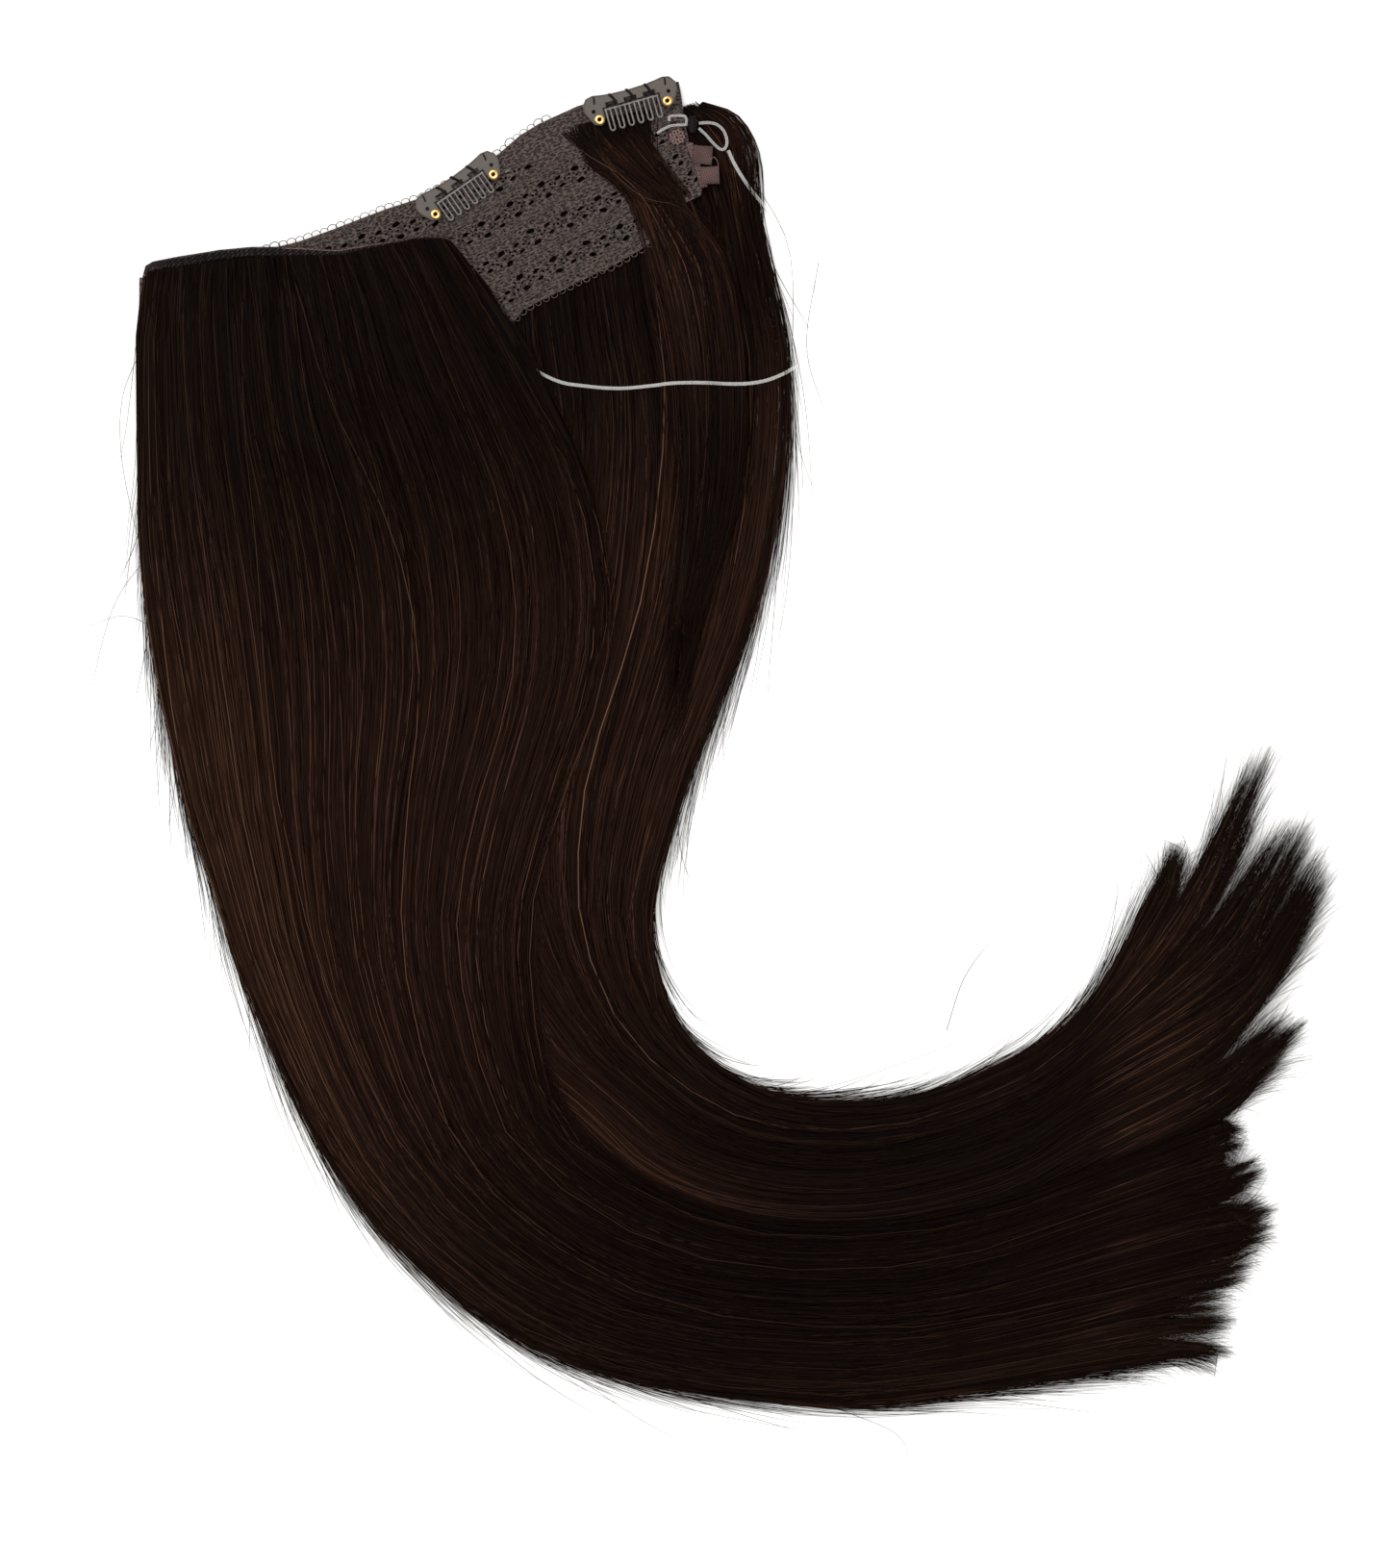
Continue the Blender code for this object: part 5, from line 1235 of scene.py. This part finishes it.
weftRows = [weftLine(o, 0.55, 1, -1) for o in (-0.95, -0.45, 0.05, 0.55, 1.0)]
weftBands = threads("weft_bands", weftRows, 0.00036, weftDark, 8)
finishPiece(weftBands, "root", "wing_weft", "wing_weft")
stitches = []
for i in range(2, 146, 2):
    for low, high in ((-1.15, -0.2), (0.1, 1.15)):
        a, b = path[i] + side[i] * low, path[i + 1] + side[i + 1] * high
        line = np.linspace(a, b, 5)
        lift = 0.55 + 0.45 + 0.12 * np.sin(np.linspace(0.4, 2.7, 5))
        stitches.append(onSlope(line, weftBase + lift))
finishPiece(threads("weft_stitches", stitches, 0.00016,
                    clothMaterial("weft_thread", (0.05, 0.04, 0.038), (0.01, 0.007, 0.007), 300.0, 0.00004), 5),
                    "root", "wing_weft")
finishPiece(threads("weft_mauve_thread", [weftLine(1.25, 0.75, 72, 104), weftLine(1.45, 0.35, 96, 112)], 0.0002,
                    mauveThread, 5), "root", "wing_weft")
print("weft")

# snap clips

clipPaint = metalMaterial("clip_taupe_paint", (0.047, 0.036, 0.029), (0.07, 0.055, 0.045), 0.5, 0.0, 0.04)
combCoat = metalMaterial("comb_grey_coating", (0.07, 0.062, 0.058), (0.14, 0.127, 0.12), 0.28, 0.0, 0.35)
brassMetal = metalMaterial("eyelet_brass", (0.80, 0.52, 0.20), (0.62, 0.38, 0.14), 0.16, 1.0)
darkThread = clothMaterial("clip_thread", (0.012, 0.008, 0.007), (0.003, 0.002, 0.002), 300.0, 0.00004)
clipSpecs = {
    "centre": dict(x=110.5, y=29.0, angle=34.6, lift=0.85),
    "right": dict(x=168.5, y=57.7, angle=15.5, lift=2.45),
}


# a place in a clip's own millimetres: u along it, v towards its back edge, lift over its foot
def onClip(spec, u, v, lift):
    a = math.radians(spec["angle"])
    x, y = spec["x"] + u * math.cos(a) - v * math.sin(a), spec["y"] + u * math.sin(a) + v * math.cos(a)
    return place(x, y, slopeHeight(x, y) + spec["lift"] + lift)


# a ring turned about an upright line, at a place on a clip
def turned(name, profile, sides, spec, u, v, material):
    bm = bmesh.new()
    rings = []
    for i in range(sides):
        a = 2 * math.pi * i / sides
        rings.append([bm.verts.new(onClip(spec, u + r * math.cos(a), v + r * math.sin(a), z)) for r, z in profile])
    for first, second in zip(rings, rings[1:] + rings[:1]):
        for k in range(len(profile)):
            j = (k + 1) % len(profile)
            bm.faces.new((first[k], second[k], second[j], first[j]))
    bmesh.ops.recalc_face_normals(bm, faces=bm.faces)
    mesh = bpy.data.meshes.new(name)
    bm.to_mesh(mesh)
    bm.free()
    mesh.shade_smooth()
    return newObject(name, mesh, material)


plateHalf = [
    (0.0, 7.3), (6.0, 7.5), (9.5, 7.9), (12.5, 8.4), (14.8, 7.9), (16.3, 5.8), (16.3, 3.4), (15.2, 1.2),
    (14.0, -1.1), (12.0, -2.0), (10.7, -1.3), (10.2, 0.2), (10.2, 3.7), (8.9, 3.7), (8.9, 5.2), (4.5, 5.2),
    (4.5, 3.7), (2.2, 3.7), (2.2, 5.2),
]
eyeletProfile = [(0.62, 0.0), (1.0, 0.0), (1.0, 0.93), (1.62, 0.93), (1.74, 1.08), (1.66, 1.28), (1.4, 1.45),
                 (1.05, 1.58), (0.75, 1.5), (0.62, 1.25)]
for clipName, spec in clipSpecs.items():
    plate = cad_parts[f"clip_plate_{clipName}"]
    plate.data.materials.clear()
    plate.data.materials.append(clipPaint)
    rim = plateHalf[:15]
    rimLine = [onClip(spec, -u, v, 0.62) for u, v in rim[::-1]] + [onClip(spec, u, v, 0.62) for u, v in rim[1:]]
    finishPiece(threads(f"clip_rim_{clipName}", [rimLine], 0.00022, clipPaint, 6), "root", f"clip_plate_{clipName}")
    fingers = []
    for i in range(6):
        u = (i - 2.5) * 3.35
        line = [(u - 0.78, 3.1), (u - 0.8, 0.5), (u - 0.8, -2.2), (u - 0.8, -3.9)]
        line += [(u + 0.8 * math.cos(a),
                  -3.95 + 0.8 * math.sin(a)) for a in np.linspace(math.pi * 1.12, math.pi * 1.88, 8)]
        line += [(u + 0.8, -3.9), (u + 0.8, -2.2), (u + 0.8, 0.5), (u + 0.78, 3.1)]
        fingers.append([onClip(spec, a, b, 0.45) for a, b in line])
    fingers.append([onClip(spec, a, 2.75, 0.45) for a in np.linspace(-9.6, 9.6, 12)])
    comb = threads(f"comb_fingers_{clipName}", fingers, 0.00037, combCoat, 8)
    finishPiece(comb, f"comb_{clipName}", f"clip_comb_{clipName}", f"clip_comb_{clipName}")
    for u, end in ((-12.05, "left"), (12.05, "right")):
        ring = turned(f"brass_eyelet_{clipName}_{end}", eyeletProfile, 40, spec, u, 0.0, brassMetal)
        finishPiece(ring, "root", f"eyelet_{clipName}_{end}", f"eyelet_{clipName}_{end}")
    sewn = []
    for u, lean in ((-5.3, -1.4), (-4.9, -1.3), (0.9, -1.5), (1.3, -1.4), (7.2, -1.3), (7.6, -1.2)):
        line = smooth([(u, 3.9, 0.35), (u + lean * 0.1, 4.9, 0.72), (u + lean * 0.5, 6.2, 0.8),
                       (u + lean, 7.3, 0.78), (u + lean * 1.1, 7.8, 0.3)], 14)
        sewn.append([onClip(spec, a, b, c) for a, b, c in line])
    for u in (-12.6, 12.6):
        line = smooth([(u, 5.4, 0.3), (u + 0.3, 6.1, 0.78), (u + 0.5, 7.4, 0.78), (u + 0.5, 8.3, 0.2)], 10)
        sewn.append([onClip(spec, a, b, c) for a, b, c in line])
    finishPiece(threads(f"clip_sewing_{clipName}", sewn, 0.00026, darkThread, 6), "root", f"clip_plate_{clipName}")
print("clips")

# the right end: hem, ribbon loops, rosette, clear loops and the knot

ribbonCloth = clothMaterial("ribbon_mauve", (0.094, 0.057, 0.052), (0.036, 0.021, 0.0195), 400.0, 0.0001)


# a flat ribbon doubled over on itself, with a soft bend at its far end
def foldedRibbon(name, start, end, width, loopHigh, node):
    start, end = np.array(start), np.array(end)
    ahead = end - start
    long = np.linalg.norm(ahead)
    ahead /= long
    aside = np.array([-ahead[1], ahead[0]])
    line = [(0.0, 0.15), (0.35, 0.16), (0.75, 0.2), (0.95, 0.32), (1.0, 0.62), (0.95, 0.92), (0.75, 1.04),
            (0.35, 1.0), (0.0, 0.9)]
    line = smooth(line, 26)
    bm = bmesh.new()
    rings = []
    for s, h in line:
        ring = []
        for w, dz in ((-0.5, 0.0), (-0.25, 0.02), (0.0, 0.04), (0.25, 0.02), (0.5, 0.0)):
            p = start + ahead * s * long + aside * w * width * (1 - 0.06 * math.sin(s * 3.1))
            ring.append((p[0], p[1], slopeHeight(p[0], p[1]) + 0.85 + h * loopHigh + dz))
        rings.append([bm.verts.new(place(*p)) for p in ring])
    for first, second in zip(rings, rings[1:]):
        for k in range(4):
            bm.faces.new((first[k], first[k + 1], second[k + 1], second[k]))
    mesh = bpy.data.meshes.new(name)
    bm.to_mesh(mesh)
    bm.free()
    piece = newObject(name, mesh, ribbonCloth)
    solid = piece.modifiers.new("wall", "SOLIDIFY")
    solid.thickness = 0.00028
    solid.offset = 0.0
    depsgraph = bpy.context.evaluated_depsgraph_get()
    piece.data = bpy.data.meshes.new_from_object(piece.evaluated_get(depsgraph))
    piece.modifiers.clear()
    faceOut(piece.data)
    piece.data.shade_smooth()
    finishPiece(piece, "root", node, node)


foldedRibbon("ribbon_upper", (189.0, 42.6), (195.4, 42.1), 6.6, 1.4, "ribbon_loop_upper")
foldedRibbon("ribbon_lower", (191.8, 35.2), (197.8, 35.5), 6.2, 1.4, "ribbon_loop_lower")


def overBand(points, lift, count=40):
    line = smooth(points, count)
    rise = line[:, 2] if line.shape[1] > 2 else 0
    return placeAll(np.column_stack([line[:, :2], slopeHeight(line[:, 0], line[:, 1]) + lift + rise]))


hemRows = [overBand([(187.0 + d, 46.5), (189.4 + d, 39.8), (192.0 + d, 31.4)], 1.25,
                    60) for d in (-0.2, 0.35, 0.9, 1.4)]
hemStitch = []
for i in range(22):
    f = i / 21
    a = np.array((186.6, 46.4)) + f * np.array((5.2, -15.2))
    b = a + (2.1, 0.2 + 0.5 * (i % 2))
    hemStitch.append(overBand([tuple(a), tuple((a + b) / 2), tuple(b)], 1.62, 6))
finishPiece(threads("hem_cords", hemRows, 0.0004, ribbonCloth, 8), "root", "end_hem", "end_hem")
finishPiece(threads("hem_stitches", hemStitch, 0.00016, mauveThread, 5), "root", "end_hem")
rosetteLines = []
for i in range(9):
    a = 2 * math.pi * i / 9
    c = np.array((183.4, 48.6))
    ray = np.array((math.cos(a), math.sin(a)))
    turn = np.array((-ray[1], ray[0]))
    rosetteLines.append(overBand([tuple(c + ray * 0.5), tuple(c + ray * 1.6 + turn * 0.65), tuple(c + ray * 2.5),
                                  tuple(c + ray * 1.6 - turn * 0.65), tuple(c + ray * 0.5)], 1.5, 20))
rosetteLines.append(overBand([(183.4 + r * math.cos(t), 48.6 + r * math.sin(t)) for t,
                              r in zip(np.linspace(0, 12.4, 26), np.linspace(0.3, 2.0, 26))], 1.15, 70))
finishPiece(threads("rosette_thread", rosetteLines, 0.00036, mauveThread, 6), "root", "end_rosette", "end_rosette")
clearPlastic = clearMaterial("clear_loops", 0.14, 0.55)
clearRoute = [
    (176.6, 49.9), (178.4, 51.2), (181.5, 52.6), (186.0, 52.9), (186.6, 53.6), (186.4, 55.4), (185.4, 56.0),
    (181.6, 56.0), (180.7, 55.4), (180.8, 54.2),
]
endLoopRoute = [
    (190.9, 53.4), (194.0, 53.6), (197.0, 53.0), (199.3, 50.9), (200.4, 48.2), (200.4, 45.8), (199.4, 44.4),
    (197.8, 44.7), (195.5, 46.9), (193.4, 49.3), (190.9, 51.7),
]
finishPiece(threads("clear_loop_strand", [overBand(clearRoute, 1.45, 90)], 0.00045, clearPlastic, 10), "root",
            "clear_loop", "clear_loop")
finishPiece(threads("wire_end_loop_strand", [overBand(endLoopRoute, 1.45, 90)], 0.0005, clearPlastic, 10), "root",
            "wire_end_loop", "wire_end_loop")
rng = np.random.default_rng(61)
knotLines = []
for i in range(26):
    y = 50.4 + 5.2 * (i % 13) / 12
    half = 1.15 * math.sqrt(max(0.05, 1 - ((y - 53.0) / 3.1) ** 2)) + 0.15
    knotLines.append(overBand([(188.7 - half, y, 0.0), (188.7, y + rng.uniform(-0.3, 0.3), 1.3),
                               (188.7 + half, y + rng.uniform(-0.4, 0.4), 0.0)], 1.1, 14))
finishPiece(threads("knot_thread", knotLines, 0.00034, darkThread, 6), "root", "wire_knot", "wire_knot")
threadEnd = [(194.5, 40.5, 1.5), (196.0, 41.6, 1.2), (197.2, 40.4, 0.6), (197.6, 38.8, 0.2)]
finishPiece(threads("thread_end", [overBand(threadEnd, 0.9, 20)], 0.00017, mauveThread, 5), "root", "ribbon_loop_upper")
print("right end")

# floor and light

floorMesh = bpy.data.meshes.new("floor")
floorMesh.from_pydata([(-3, -3, 0), (3, -3, 0), (3, 3, 0), (-3, 3, 0)], [], [(0, 1, 2, 3)])
floorMaterial, floorShader = newMaterial("floor_white", {"Roughness": 0.9, "Specular IOR Level": 0.1})
floorTree = floorMaterial.node_tree
floorWhere = addNode(floorTree, "ShaderNodeTexCoord")
floorNoise = addNode(floorTree, "ShaderNodeTexNoise", inputs={"Vector": floorWhere.outputs["Object"], "Scale": 3.0})
floorTree.links.new(mixColour(floorTree, floorNoise.outputs[0], (0.93, 0.925, 0.91, 1), (0.96, 0.955, 0.945, 1)),
                    floorShader.inputs["Base Color"])
floor = newObject("floor", floorMesh, floorMaterial)
floor.location.z = -0.00005

world = bpy.data.worlds.new("room")
world.use_nodes = True
world.node_tree.nodes["Background"].inputs[0].default_value = (1.0, 0.99, 0.975, 1)
world.node_tree.nodes["Background"].inputs[1].default_value = 0.75
stageScene.world = world
for name, at, size, power in (("window", (-0.9, 0.9, 1.5), 1.4, 26.0), ("ceiling", (0.5, -0.4, 2.1), 2.0, 22.0)):
    light = bpy.data.objects.new(name, bpy.data.lights.new(name, "AREA"))
    light.data.size = size
    light.data.energy = power
    light.location = at
    light.rotation_euler = (Vector((0, 0, 0)) - Vector(at)).to_track_quat("-Z", "Y").to_euler()
    stageScene.collection.objects.link(light)
stageScene.view_settings.view_transform = "Standard"
